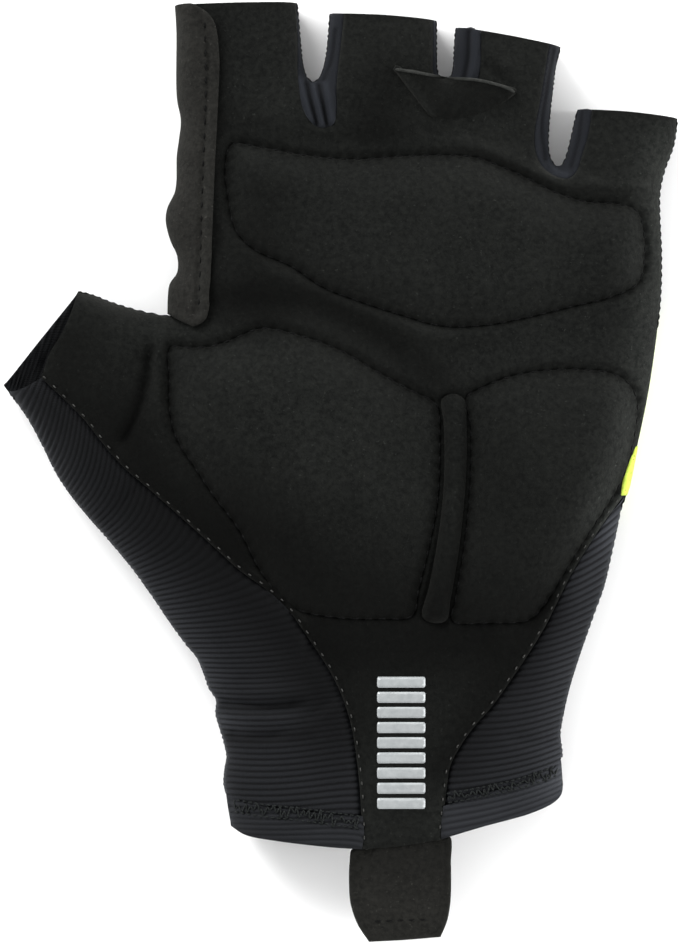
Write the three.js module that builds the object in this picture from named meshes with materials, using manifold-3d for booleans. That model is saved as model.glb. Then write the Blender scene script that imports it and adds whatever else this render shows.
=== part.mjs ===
// Half-finger cycling glove for the left hand, lying palm up on its ribbed back.
// Units are millimetres, +Z is up, +Y runs to the fingertips, and the thumb points to -X.
import * as THREE from 'three';
import { mergeVertices } from 'three/addons/utils/BufferGeometryUtils.js';
import Module from 'manifold-3d';

const wasm = await Module();
wasm.setup();

// Main sizes of the glove.
const PALM_WIDTH = 99;
const PALM_LENGTH = 133;
const PALM_HEIGHT = 16;
const CUFF_HEIGHT = 13.5;
const HEM_DEPTH = 6.4;
const HEM_FOLD = 0.8;
const HEM_SLANT = 30;
const HEM_LOWEST_AT = 0.4;
const CLOTH_WALL = 1.2;
const SEAM_HEIGHT = 4.6;
const GAP = 0.3;
const SIDE_ROUNDNESS = 2.7;
const REST_SINK = 0.5;

// Half fingers.
const FINGER_HEIGHT = 10.5;
const FINGER_EDGE = 4.2;
const INDEX_LENGTH = 36;
const MIDDLE_LENGTH = 34;
const RING_LENGTH = 31.2;
const LITTLE_LENGTH = 15.2;
const INNER_CROTCH = 20.4;
const OUTER_CROTCH = 3.6;
const FINGER_OVERLAP = 12;
const TIP_ALLOWANCE = 8;

// Thumb.
const THUMB_REACH = 50.4;
const THUMB_ROOT_WIDTH = 52.4;
const THUMB_MOUTH_WIDTH = 24;
const THUMB_MOUTH_HEIGHT = 11;
const THUMB_ROOT_HEIGHT = 15;
const THUMB_SCOOP = 5;

// Pieces on the palm, at the wrist and on the side.
const GUARD_WALL = 1.1;
const GUARD_LOWEST = 2.4;
const PAD_RISE = 2.6;
const PAD_EDGE = 4.5;
const RIB_RISE = 1.8;
const WEB_WALL = 1;
const WEB_LIFT = 3.4;
const TAB_WALL = 2.2;
const TAB_LENGTH = 20.5;
const TAB_TUCK = 7;
const TAB_WIDTH = 21;
const TAB_DROOP = 3.5;
const INSERT_HEIGHT = 8;
const INSERT_WIDTH = 6;

const SECTION_SIDES = 24;
const CUTTER_TOP = 40;

// The palm form from the cuff to the finger roots. Along is a share of the palm's length, left and right
// are shares of its width, and swell is the height's share of the way from the cuff's to the palm's.
const PALM_ROWS = [
  { along: 0.0, left: -0.367, right: 0.3, swell: 0, hem: 1 },
  { along: 0.05, left: -0.374, right: 0.302, swell: 0, hem: 0.7 },
  { along: 0.105, left: -0.377, right: 0.301, swell: 0.02, hem: 0.3 },
  { along: 0.15, left: -0.375, right: 0.301, swell: -0.08, hem: 0 },
  { along: 0.178, left: -0.382, right: 0.302, swell: 0.12, hem: 0 },
  { along: 0.198, left: -0.395, right: 0.305, swell: -0.02, hem: 0 },
  { along: 0.222, left: -0.397, right: 0.309, swell: 0.24, hem: 0 },
  { along: 0.25, left: -0.409, right: 0.318, swell: 0.2, hem: 0 },
  { along: 0.29, left: -0.43, right: 0.335, swell: 0.45, hem: 0 },
  { along: 0.335, left: -0.475, right: 0.358, swell: 0.7, hem: 0 },
  { along: 0.395, left: -0.5, right: 0.388, swell: 0.9, hem: 0 },
  { along: 0.46, left: -0.5, right: 0.41, swell: 1, hem: 0 },
  { along: 0.53, left: -0.5, right: 0.432, swell: 1, hem: 0 },
  { along: 0.6, left: -0.5, right: 0.452, swell: 1, hem: 0 },
  { along: 0.67, left: -0.5, right: 0.472, swell: 1, hem: 0 },
  { along: 0.735, left: -0.5, right: 0.486, swell: 0.95, hem: 0 },
  { along: 0.785, left: -0.49, right: 0.497, swell: 0.85, hem: 0 },
  { along: 0.83, left: -0.474, right: 0.502, swell: 0.6, hem: 0 },
  { along: 0.87, left: -0.467, right: 0.5, swell: 0.15, hem: 0 },
  { along: 0.92, left: -0.478, right: 0.5, swell: -0.3, hem: 0 },
  { along: 0.975, left: -0.485, right: 0.49, swell: -1.05, hem: 0 },
  { along: 1.01, left: -0.46, right: 0.47, swell: -1.6, hem: 0 },
];

// The thumb from its root in the palm to its mouth. Reach and side are shares of the thumb's reach,
// narrow runs from the root's width and height to the mouth's, and turn is in degrees.
const THUMB_ROWS = [
  { reach: 0, side: 0, narrow: 0, turn: 75.9 },
  { reach: 0.268, side: 0.017, narrow: 0.09, turn: 77.7 },
  { reach: 0.496, side: 0.023, narrow: 0.26, turn: 73.5 },
  { reach: 0.68, side: 0.01, narrow: 0.546, turn: 63.6 },
  { reach: 0.854, side: 0.017, narrow: 0.838, turn: 55.5 },
  { reach: 1, side: 0, narrow: 1, turn: 51.4 },
];
const THUMB_ROOT = { along: 0.498, across: -0.393 };
const THUMB_HEADING = 134.8;

// The index, middle, ring and little finger: each one's edges at the crotch, half way and at the tip, as
// shares of the palm's width, and how far its tip slants down to the right as a share of its own length.
const FINGERS = [
  { length: INDEX_LENGTH, left: [-0.468, -0.468, -0.467], right: [-0.221, -0.226, -0.233], slant: -0.015 },
  { length: MIDDLE_LENGTH, left: [-0.179, -0.173, -0.167], right: [0.049, 0.049, 0.048], slant: 0.042 },
  { length: RING_LENGTH, left: [0.084, 0.086, 0.088], right: [0.276, 0.279, 0.301], slant: 0.125 },
  { length: LITTLE_LENGTH, left: [0.31, 0.32, 0.334], right: [0.5, 0.521, 0.537], slant: 0.14 },
];
const CROTCH_RISES = [INNER_CROTCH, INNER_CROTCH, OUTER_CROTCH];

// The index finger's outer edge waves in and out. Along counts from the finger roots to the tip, below
// zero on the palm, and out is a share of the palm's width.
const INDEX_WAVES = [
  { along: -0.32, out: 0.006 },
  { along: -0.18, out: 0.01 },
  { along: -0.03, out: -0.004 },
  { along: 0.18, out: -0.004 },
  { along: 0.33, out: 0.009 },
  { along: 0.5, out: -0.002 },
  { along: 1, out: -0.002 },
];

// Where the suede palm ends on the palm side. Shares of the palm's length and width.
const THUMB_SEAM = [
  { along: 0.707, across: -0.748 },
  { along: 0.644, across: -0.662 },
  { along: 0.571, across: -0.581 },
  { along: 0.513, across: -0.49 },
  { along: 0.448, across: -0.393 },
  { along: 0.365, across: -0.258 },
  { along: 0.313, across: -0.207 },
  { along: 0.253, across: -0.157 },
  { along: 0.192, across: -0.126 },
  { along: 0.117, across: -0.11 },
  { along: -0.06, across: -0.102 },
];
const OUTER_SEAM = [
  { along: -0.06, across: 0.058 },
  { along: 0.087, across: 0.068 },
  { along: 0.159, across: 0.1 },
  { along: 0.215, across: 0.161 },
  { along: 0.298, across: 0.237 },
  { along: 0.365, across: 0.288 },
  { along: 0.448, across: 0.348 },
  { along: 0.538, across: 0.436 },
  { along: 0.545, across: 0.56 },
];

// The stretch strips in the three gaps between the fingers, seen from above. Along is a share of the
// palm's length and across of its width.
const FOURCHETTES = [
  {
    name: 'fourchette_index_middle',
    outline: [
      { along: 1.33, across: -0.229 }, { along: 1.18, across: -0.229 }, { along: 1.14, across: -0.226 },
      { along: 1.11, across: -0.214 }, { along: 1.082, across: -0.193 }, { along: 1.105, across: -0.171 },
      { along: 1.145, across: -0.155 }, { along: 1.2, across: -0.14 }, { along: 1.33, across: -0.136 },
    ],
  },
  {
    name: 'fourchette_middle_ring',
    outline: [
      { along: 1.33, across: 0.038 }, { along: 1.155, across: 0.038 }, { along: 1.138, across: 0.056 },
      { along: 1.136, across: 0.108 }, { along: 1.15, across: 0.137 }, { along: 1.33, across: 0.141 },
    ],
  },
  {
    name: 'fourchette_ring_little',
    outline: [
      { along: 1.33, across: 0.28 }, { along: 1.2, across: 0.272 }, { along: 1.125, across: 0.258 },
      { along: 1.065, across: 0.243 }, { along: 1.026, across: 0.258 }, { along: 1.007, across: 0.29 },
      { along: 1.001, across: 0.327 }, { along: 1.045, across: 0.35 }, { along: 1.11, across: 0.362 },
      { along: 1.33, across: 0.372 },
    ],
  },
];

// The guard's inner edge from the index fingertip down to its rounded end.
const GUARD_EDGE = [
  { along: 1.33, across: -0.413 },
  { along: 1.256, across: -0.413 },
  { along: 1.23, across: -0.4 },
  { along: 1.178, across: -0.391 },
  { along: 1.113, across: -0.395 },
  { along: 1.015, across: -0.4 },
  { along: 0.917, across: -0.407 },
  { along: 0.82, across: -0.411 },
  { along: 0.787, across: -0.425 },
  { along: 0.785, across: -0.447 },
  { along: 0.815, across: -0.49 },
  { along: 0.845, across: -0.535 },
  { along: 1.33, across: -0.535 },
];

// Outlines of the quilted pads, as shares of the palm's length and width.
const KNUCKLE_PAD = [
  { along: 1.056, across: -0.365 }, { along: 1.053, across: -0.305 }, { along: 1.038, across: -0.22 },
  { along: 1.035, across: -0.12 }, { along: 1.039, across: 0.02 }, { along: 1.036, across: 0.13 },
  { along: 1.009, across: 0.225 }, { along: 0.982, across: 0.3 }, { along: 0.967, across: 0.42 },
  { along: 0.945, across: 0.462 }, { along: 0.88, across: 0.466 }, { along: 0.846, across: 0.45 },
  { along: 0.814, across: 0.32 }, { along: 0.783, across: 0.14 }, { along: 0.788, across: 0.03 },
  { along: 0.82, across: -0.11 }, { along: 0.868, across: -0.235 }, { along: 0.897, across: -0.305 },
  { along: 0.932, across: -0.36 }, { along: 0.985, across: -0.375 }, { along: 1.035, across: -0.375 },
];
const THUMB_PAD = [
  { along: 0.752, across: -0.483 }, { along: 0.75, across: -0.41 }, { along: 0.777, across: -0.31 },
  { along: 0.768, across: -0.23 }, { along: 0.745, across: -0.15 }, { along: 0.71, across: -0.067 },
  { along: 0.676, across: 0.03 }, { along: 0.655, across: 0.05 }, { along: 0.52, across: 0.05 },
  { along: 0.45, across: 0.03 }, { along: 0.36, across: 0.002 }, { along: 0.347, across: -0.04 },
  { along: 0.352, across: -0.16 }, { along: 0.39, across: -0.29 }, { along: 0.475, across: -0.345 },
  { along: 0.57, across: -0.43 }, { along: 0.63, across: -0.485 },
];
const HEEL_PAD = [
  { along: 0.675, across: 0.115 }, { along: 0.7, across: 0.16 }, { along: 0.717, across: 0.26 },
  { along: 0.716, across: 0.39 }, { along: 0.7, across: 0.435 }, { along: 0.66, across: 0.45 },
  { along: 0.57, across: 0.43 }, { along: 0.52, across: 0.395 }, { along: 0.44, across: 0.325 },
  { along: 0.36, across: 0.215 }, { along: 0.342, across: 0.18 }, { along: 0.34, across: 0.105 },
  { along: 0.37, across: 0.09 }, { along: 0.48, across: 0.108 }, { along: 0.6, across: 0.122 },
];
const PALM_RIB = [
  { along: 0.68, across: 0.075 }, { along: 0.68, across: 0.1 }, { along: 0.6, across: 0.106 },
  { along: 0.48, across: 0.092 }, { along: 0.37, across: 0.072 }, { along: 0.335, across: 0.06 },
  { along: 0.335, across: 0.03 }, { along: 0.37, across: 0.033 }, { along: 0.45, across: 0.049 },
  { along: 0.52, across: 0.065 }, { along: 0.6, across: 0.068 },
];

// The pull web from end to end: its sewn lower edge and its free rim, with the rim's lift.
const WEB_ROWS = [
  { sewnAlong: 1.125, sewnAcross: -0.035, rimAlong: 1.168, rimAcross: -0.039, lift: 0.02 },
  { sewnAlong: 1.1, sewnAcross: 0.0, rimAlong: 1.163, rimAcross: 0.0, lift: 0.75 },
  { sewnAlong: 1.09, sewnAcross: 0.045, rimAlong: 1.159, rimAcross: 0.048, lift: 1 },
  { sewnAlong: 1.085, sewnAcross: 0.09, rimAlong: 1.154, rimAcross: 0.084, lift: 1 },
  { sewnAlong: 1.085, sewnAcross: 0.14, rimAlong: 1.149, rimAcross: 0.157, lift: 0.7 },
  { sewnAlong: 1.1, sewnAcross: 0.19, rimAlong: 1.134, rimAcross: 0.209, lift: 0.02 },
];

// The wrist tab from its tucked end to its tip. Along is a share of its length past the hem.
const TAB_ROWS = [
  { along: 0.08, left: -0.5, right: 0.5 },
  { along: 0.3, left: -0.5, right: 0.5 },
  { along: 0.55, left: -0.505, right: 0.5 },
  { along: 0.7, left: -0.49, right: 0.495 },
  { along: 0.85, left: -0.43, right: 0.46 },
  { along: 0.95, left: -0.35, right: 0.41 },
  { along: 1, left: -0.3, right: 0.39 },
];
const TAB_CENTRE = -0.026;

const SUEDE = { color: 0x222421, roughness: 0.95, metalness: 0 };
const SUEDE_LIGHT = { color: 0x2b2b29, roughness: 0.93, metalness: 0 };
const RIBBED = { color: 0x1f2024, roughness: 0.8, metalness: 0 };
const STRETCH = { color: 0x2a2c31, roughness: 0.7, metalness: 0 };
const YELLOW = { color: 0xd8e860, roughness: 0.7, metalness: 0 };

function place(row) {
  return new THREE.Vector2(row.across * PALM_WIDTH, row.along * PALM_LENGTH);
}

function toSolid(geometry) {
  geometry.deleteAttribute('normal');
  geometry.deleteAttribute('uv');
  const merged = mergeVertices(geometry, 1e-4);
  const triVerts = new Uint32Array(merged.index.array);
  const vertProperties = new Float32Array(merged.attributes.position.array);
  return new wasm.Manifold(new wasm.Mesh({ numProp: 3, vertProperties, triVerts }));
}

function toGeometry(solid) {
  const mesh = solid.getMesh();
  const geometry = new THREE.BufferGeometry();
  geometry.setAttribute('position', new THREE.BufferAttribute(mesh.vertProperties, 3));
  geometry.setIndex(new THREE.BufferAttribute(mesh.triVerts, 1));
  return geometry;
}

// Joins closed rings of equal length into a closed skin, with both ends capped.
function loft(rings) {
  const count = rings[0].length;
  const positions = rings.flat().flatMap((point) => [point.x, point.y, point.z]);
  const faces = [];
  for (let ring = 0; ring + 1 < rings.length; ring += 1) {
    for (let i = 0; i < count; i += 1) {
      const next = (i + 1) % count;
      const low = ring * count;
      const high = low + count;
      faces.push(low + i, low + next, high + next, low + i, high + next, high + i);
    }
  }
  const last = (rings.length - 1) * count;
  for (let i = 1; i + 1 < count; i += 1) {
    faces.push(0, i + 1, i, last, last + i, last + i + 1);
  }
  const geometry = new THREE.BufferGeometry();
  geometry.setAttribute('position', new THREE.Float32BufferAttribute(positions, 3));
  geometry.setIndex(faces);
  const solid = toSolid(geometry);
  return solid.volume() > 0 ? solid : loft(rings.map((ring) => ring.toReversed()));
}

// Moves a closed outline inwards, or outwards where the distance is negative. The outline runs
// anticlockwise or clockwise, and its area tells which side is in.
function inset(points, distance) {
  const inward = THREE.ShapeUtils.area(points) > 0 ? 1 : -1;
  return points.map((point, i) => {
    const before = points[(i + points.length - 1) % points.length];
    const after = points[(i + 1) % points.length];
    const first = point.clone().sub(before).normalize();
    const second = after.clone().sub(point).normalize();
    const along = first.clone().add(second).normalize();
    const stretch = 1 / Math.max(0.5, along.dot(second));
    const normal = new THREE.Vector2(-along.y, along.x);
    return point.clone().addScaledVector(normal, inward * distance * stretch);
  });
}

// An upright block over an outline, from one height to another.
function prism(points, low, high) {
  const geometry = new THREE.ExtrudeGeometry(new THREE.Shape(points), {
    depth: high - low,
    bevelEnabled: false,
  });
  geometry.translate(0, 0, low);
  return toSolid(geometry);
}

function smooth(rows, closed, steps) {
  const knots = rows.map((row) => {
    const point = place(row);
    return new THREE.Vector3(point.x, point.y, 0);
  });
  const curve = new THREE.CatmullRomCurve3(knots, closed, 'centripetal');
  const points = curve.getPoints(steps).map((point) => new THREE.Vector2(point.x, point.y));
  return closed ? points.slice(0, -1) : points;
}

function hemLine(share) {
  return HEM_SLANT * (share - HEM_LOWEST_AT) ** 2;
}

// A rounded section between two edges, flat where it lies on the table. Trim takes a wall off it.
function section(left, right, height, trim) {
  const middle = (left + right) / 2;
  const reach = (right - left) / 2 - trim;
  const half = (height + REST_SINK) / 2 - trim;
  const power = 2 / SIDE_ROUNDNESS;
  const points = [];
  for (let i = 0; i < SECTION_SIDES; i += 1) {
    const angle = (i / SECTION_SIDES) * 2 * Math.PI;
    const x = middle + reach * Math.sign(Math.cos(angle)) * Math.abs(Math.cos(angle)) ** power;
    const z = half * Math.sign(Math.sin(angle)) * Math.abs(Math.sin(angle)) ** power;
    points.push({ x, z: Math.max(trim, z + (height - REST_SINK) / 2) });
  }
  return points;
}

function palmRow(row) {
  const height = CUFF_HEIGHT + (PALM_HEIGHT - CUFF_HEIGHT) * row.swell;
  return { left: row.left * PALM_WIDTH, right: row.right * PALM_WIDTH, height };
}

// The palm form. Trim makes it smaller all round, and overrun lengthens it past the cuff.
function palmForm(trim, overrun) {
  const rings = PALM_ROWS.map((row, i) => {
    const { left, right, height } = palmRow(row);
    const end = i === 0 ? overrun : 0;
    const top = i === PALM_ROWS.length - 1 ? trim : 0;
    return section(left, right, height, trim).map(({ x, z }) => {
      const y = row.along * PALM_LENGTH + row.hem * hemLine((x - left) / (right - left)) - end - top;
      return new THREE.Vector3(x, y, z);
    });
  });
  return loft(rings);
}

// Height of the palm form's upper face over a point.
function palmTop(x, y) {
  const share = y / PALM_LENGTH;
  const found = PALM_ROWS.findIndex((row) => row.along > share);
  const upper = found < 1 ? PALM_ROWS.length - 1 : found;
  const low = PALM_ROWS[upper - 1];
  const high = PALM_ROWS[upper];
  const part = THREE.MathUtils.clamp((share - low.along) / (high.along - low.along), 0, 1);
  const a = palmRow(low);
  const b = palmRow(high);
  const left = THREE.MathUtils.lerp(a.left, b.left, part);
  const right = THREE.MathUtils.lerp(a.right, b.right, part);
  const height = THREE.MathUtils.lerp(a.height, b.height, part);
  const offset = Math.min(1, Math.abs((2 * x - left - right) / (right - left)));
  const crown = (1 - offset ** SIDE_ROUNDNESS) ** (1 / SIDE_ROUNDNESS);
  return (height - REST_SINK) / 2 + ((height + REST_SINK) / 2) * crown;
}

function thumbForm(trim, overrun) {
  const root = place(THUMB_ROOT);
  const heading = THREE.MathUtils.degToRad(THUMB_HEADING);
  const forward = new THREE.Vector2(Math.cos(heading), Math.sin(heading));
  const sideways = new THREE.Vector2(-forward.y, forward.x).negate();
  const rings = THUMB_ROWS.map((row, i) => {
    const isMouth = i === THUMB_ROWS.length - 1;
    const reach = row.reach * THUMB_REACH + (isMouth ? overrun : 0);
    const centre = root.clone().addScaledVector(forward, reach);
    centre.addScaledVector(sideways, row.side * THUMB_REACH);
    const turn = THREE.MathUtils.degToRad(row.turn);
    const width = THREE.MathUtils.lerp(THUMB_ROOT_WIDTH, THUMB_MOUTH_WIDTH, row.narrow);
    const height = THREE.MathUtils.lerp(THUMB_ROOT_HEIGHT, THUMB_MOUTH_HEIGHT, row.narrow);
    return section(-width / 2, width / 2, height, trim).map(({ x, z }) => {
      const scoop = isMouth ? (THUMB_SCOOP * Math.max(0, z - height / 2)) / (height / 2) : 0;
      const back = scoop * Math.cos((Math.PI * x) / width);
      return new THREE.Vector3(
        centre.x + x * Math.cos(turn) - back * forward.x,
        centre.y + x * Math.sin(turn) - back * forward.y,
        z,
      );
    });
  });
  return loft(rings);
}

function through(values, share) {
  const [start, middle, end] = values;
  const bend = 2 * (start + end - 2 * middle);
  return start + (4 * middle - 3 * start - end) * share + bend * share * share;
}

// The outline of the four half fingers, run past their tips, with round crotches between them.
function fingerOutline(guardRoom) {
  const points = [];
  for (const wave of INDEX_WAVES) {
    const x = (FINGERS[0].left[0] - wave.out) * PALM_WIDTH + guardRoom;
    points.push(new THREE.Vector2(x, PALM_LENGTH + wave.along * INDEX_LENGTH));
  }
  points[points.length - 1].y += TIP_ALLOWANCE;
  FINGERS.forEach((finger, i) => {
    const tip = PALM_LENGTH + finger.length;
    const before = i === 0 ? 0 : CROTCH_RISES[i - 1];
    const after = i === FINGERS.length - 1 ? 0 : CROTCH_RISES[i];
    const steps = [0.25, 0.5, 0.75];
    if (i > 0) {
      for (const share of [...steps, 1]) {
        const y = PALM_LENGTH + before + (finger.length - before) * share;
        const past = share === 1 ? TIP_ALLOWANCE : 0;
        points.push(new THREE.Vector2(through(finger.left, share) * PALM_WIDTH, y + past));
      }
    }
    for (const share of [1, ...steps.toReversed()]) {
      const y = PALM_LENGTH + after + (tip - PALM_LENGTH - after) * share;
      const past = share === 1 ? TIP_ALLOWANCE : 0;
      points.push(new THREE.Vector2(through(finger.right, share) * PALM_WIDTH, y + past));
    }
    if (i < FINGERS.length - 1) {
      const start = finger.right[0] * PALM_WIDTH;
      const end = FINGERS[i + 1].left[0] * PALM_WIDTH;
      const radius = (end - start) / 2;
      for (const degrees of [180, 210, 240, 270, 300, 330, 360]) {
        const angle = THREE.MathUtils.degToRad(degrees);
        const x = (start + end) / 2 + radius * Math.cos(angle);
        const y = PALM_LENGTH + CROTCH_RISES[i] + radius * (1 + Math.sin(angle));
        points.push(new THREE.Vector2(x, y));
      }
    }
  });
  points.push(new THREE.Vector2(FINGERS[3].right[0] * PALM_WIDTH, PALM_LENGTH - FINGER_OVERLAP));
  return points;
}

// The flat finger part with rounded edges. Trim makes it smaller all round.
function fingerForm(trim) {
  const edge = FINGER_EDGE - trim;
  const height = FINGER_HEIGHT - 2 * trim;
  const outline = inset(fingerOutline(GUARD_WALL + GAP), trim);
  const geometry = new THREE.ExtrudeGeometry(new THREE.Shape(outline), {
    depth: height - 2 * edge,
    bevelThickness: edge,
    bevelSize: edge,
    bevelOffset: -edge,
    bevelSegments: 3,
  });
  geometry.translate(0, 0, edge + trim);
  return toSolid(geometry);
}

function handForm(trim, overrun) {
  return palmForm(trim, overrun).add(thumbForm(trim, overrun)).add(fingerForm(trim));
}

// Blocks that cut the fingers off square at their tips.
function tipCutters() {
  return FINGERS.map((finger) => {
    const left = (finger.left[2] - 0.05) * PALM_WIDTH;
    const right = (finger.right[2] + 0.05) * PALM_WIDTH;
    const tip = PALM_LENGTH + finger.length;
    const fall = (finger.slant * finger.length) / 2;
    const far = tip + 2 * TIP_ALLOWANCE;
    const corners = [
      new THREE.Vector2(left, tip + fall),
      new THREE.Vector2(right, tip - fall),
      new THREE.Vector2(right, far),
      new THREE.Vector2(left, far),
    ];
    return prism(corners, -CUTTER_TOP, CUTTER_TOP);
  });
}

// A sewn pad: a crowned cushion over an outline, lying on the palm with a gap under it.
function pad(rows, rise, steps, underlay) {
  const outline = smooth(rows, true, steps);
  const centre = outline.reduce((sum, point) => sum.add(point), new THREE.Vector2());
  centre.divideScalar(outline.length);
  const level = (share, lift) => outline.map((point) => {
    const x = THREE.MathUtils.lerp(point.x, centre.x, share);
    const y = THREE.MathUtils.lerp(point.y, centre.y, share);
    return new THREE.Vector3(x, y, Math.max(FINGER_HEIGHT, palmTop(x, y)) + lift);
  });
  const size = Math.sqrt(Math.abs(THREE.ShapeUtils.area(outline)) / Math.PI);
  const buried = outline.map((point) => new THREE.Vector3(point.x, point.y, PALM_HEIGHT / 2));
  const rings = [buried, level(0, GAP)];
  for (const share of [0.3, 0.7, 1]) {
    rings.push(level((share * PAD_EDGE) / size, GAP + rise * Math.sqrt(share * (2 - share))));
  }
  rings.push(level(0.5, GAP + rise), level(0.8, GAP + rise));
  return loft(rings).subtract(underlay);
}

function palmRib(underlay) {
  const outline = smooth(PALM_RIB, true, 24);
  const level = (room, lift) => inset(outline, room).map((point) => (
    new THREE.Vector3(point.x, point.y, palmTop(point.x, point.y) + lift)));
  const rings = [level(0, -RIB_RISE), level(0, GAP)];
  rings.push(level(0.4, GAP + 0.75 * RIB_RISE), level(1, GAP + RIB_RISE));
  return loft(rings).subtract(underlay);
}

function pullWeb() {
  const seat = FINGER_HEIGHT + GAP;
  const rings = WEB_ROWS.map((row) => {
    const sewn = place({ along: row.sewnAlong, across: row.sewnAcross });
    const rim = place({ along: row.rimAlong, across: row.rimAcross });
    const belly = sewn.clone().lerp(rim, 0.5);
    const lift = row.lift * WEB_LIFT;
    return [
      new THREE.Vector3(sewn.x, sewn.y, seat),
      new THREE.Vector3(belly.x, belly.y, seat + 0.35 * lift),
      new THREE.Vector3(rim.x, rim.y, seat + lift),
      new THREE.Vector3(rim.x, rim.y, seat + lift + WEB_WALL),
      new THREE.Vector3(belly.x, belly.y, seat + 0.35 * lift + WEB_WALL),
      new THREE.Vector3(sewn.x, sewn.y, seat + 0.8 * WEB_WALL),
    ];
  });
  return loft(rings);
}

function wristTab() {
  const centre = TAB_CENTRE * PALM_WIDTH;
  const hem = hemLine(HEM_LOWEST_AT);
  const top = CUFF_HEIGHT - CLOTH_WALL - HEM_FOLD - 2 * GAP;
  const ring = (left, right, y, lower) => {
    const bevel = TAB_WALL / 4;
    const profile = [
      [left, bevel], [left + bevel, 0], [right - bevel, 0], [right, bevel],
      [right, TAB_WALL - bevel], [right - bevel, TAB_WALL], [left + bevel, TAB_WALL], [left, TAB_WALL - bevel],
    ];
    return profile.map(([x, z]) => new THREE.Vector3(centre + x, y, top - TAB_WALL - lower + z));
  };
  const half = TAB_WIDTH / 2;
  const rings = [ring(-half, half, hem + TAB_TUCK, 0)];
  for (const row of TAB_ROWS) {
    const lower = TAB_DROOP * row.along ** 2;
    rings.push(ring(row.left * TAB_WIDTH, row.right * TAB_WIDTH, hem - row.along * TAB_LENGTH, lower));
  }
  return loft(rings);
}

function named(name, solid, finish) {
  const mesh = new THREE.Mesh(toGeometry(solid), new THREE.MeshStandardMaterial(finish));
  mesh.name = name;
  return mesh;
}

const group = new THREE.Group();
const outer = handForm(0, 0);
const cavity = handForm(CLOTH_WALL, 3 * HEM_DEPTH);
const clearance = handForm(-GAP, 0);
const guardSkin = handForm(-GAP - GUARD_WALL, 0);

let shell = outer.subtract(cavity);
for (const cutter of tipCutters()) {
  shell = shell.subtract(cutter);
}

// The hem is the lowest band of the cuff, doubled inwards.
const hemBand = [];
const farSide = PALM_WIDTH;
for (let share = -0.5; share <= 1.5; share += 0.125) {
  const left = PALM_ROWS[0].left * PALM_WIDTH;
  const right = PALM_ROWS[0].right * PALM_WIDTH;
  hemBand.push(new THREE.Vector2(THREE.MathUtils.lerp(left, right, share), HEM_DEPTH + hemLine(share)));
}
hemBand.push(new THREE.Vector2(farSide, -HEM_SLANT), new THREE.Vector2(-farSide, -HEM_SLANT));
const doubled = palmForm(0, 0).subtract(palmForm(CLOTH_WALL + HEM_FOLD, 3 * HEM_DEPTH));

// The suede palm's region, seen from above.
const fingerEnd = PALM_LENGTH + INDEX_LENGTH + 2 * TIP_ALLOWANCE;
const suedeEdge = [
  ...smooth(THUMB_SEAM, false, 18),
  ...smooth(OUTER_SEAM, false, 14),
  new THREE.Vector2(farSide, fingerEnd),
  new THREE.Vector2(-farSide, fingerEnd),
  new THREE.Vector2(-farSide, THUMB_SEAM[0].along * PALM_LENGTH),
];
const suedeRegion = prism(suedeEdge, SEAM_HEIGHT, CUTTER_TOP);
const suedeRoom = prism(inset(suedeEdge, -GAP), SEAM_HEIGHT - GAP, CUTTER_TOP);

// The yellow insert runs along the outer edge of the back, next to the suede.
const insertEdge = [
  new THREE.Vector2(0.492 * PALM_WIDTH - INSERT_WIDTH, 0.795 * PALM_LENGTH),
  new THREE.Vector2(0.414 * PALM_WIDTH - INSERT_WIDTH, 0.48 * PALM_LENGTH),
  new THREE.Vector2(farSide, 0.48 * PALM_LENGTH),
  new THREE.Vector2(farSide, 0.795 * PALM_LENGTH),
];
const insertRegion = prism(insertEdge, -CUTTER_TOP, INSERT_HEIGHT);
const insertRoom = prism(inset(insertEdge, -GAP), -CUTTER_TOP, INSERT_HEIGHT + GAP);

let palm = shell.intersect(suedeRegion).subtract(insertRoom);
let back = shell.subtract(suedeRoom).subtract(insertRoom);
for (const { name, outline } of FOURCHETTES) {
  const edge = outline.map(place);
  group.add(named(name, shell.intersect(prism(edge, -CUTTER_TOP, CUTTER_TOP)), STRETCH));
  const room = prism(inset(edge, -GAP), -CUTTER_TOP, CUTTER_TOP);
  palm = palm.subtract(room);
  back = back.subtract(room);
}
back = back.subtract(prism(inset(hemBand, -GAP), -CUTTER_TOP, CUTTER_TOP));

// The guard lies over the index finger's outer edge and stays clear of the table.
const guardRegion = prism(GUARD_EDGE.map(place), GUARD_LOWEST, CUTTER_TOP);
let guard = guardSkin.subtract(clearance).intersect(guardRegion);
for (const cutter of tipCutters()) {
  guard = guard.subtract(cutter);
}

group.add(named('palm_panel', palm, SUEDE));
group.add(named('back_panel', back, RIBBED));
const hem = doubled.intersect(prism(hemBand, -CUTTER_TOP, CUTTER_TOP)).subtract(suedeRoom);
group.add(named('cuff_hem', hem, RIBBED));
group.add(named('side_insert', shell.intersect(insertRegion), YELLOW));
group.add(named('index_guard', guard, SUEDE_LIGHT));
group.add(named('knuckle_pad', pad(KNUCKLE_PAD, PAD_RISE, 32, clearance), SUEDE));
group.add(named('thumb_pad', pad(THUMB_PAD, PAD_RISE, 26, clearance), SUEDE));
group.add(named('heel_pad', pad(HEEL_PAD, PAD_RISE, 24, clearance), SUEDE));
group.add(named('palm_rib', palmRib(clearance), SUEDE));
group.add(named('pull_web', pullWeb(), SUEDE));
group.add(named('wrist_tab', wristTab(), SUEDE_LIGHT));

// The origin is the middle of the glove's footprint, on the surface that it lies on.
const box = new THREE.Box3().setFromObject(group);
group.position.set(-(box.min.x + box.max.x) / 2, -(box.min.y + box.max.y) / 2, -box.min.z);

export default group;
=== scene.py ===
import math

import bpy
import numpy as np
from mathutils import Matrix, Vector
from mathutils.geometry import delaunay_2d_cdt
from mathutils.kdtree import KDTree


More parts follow.
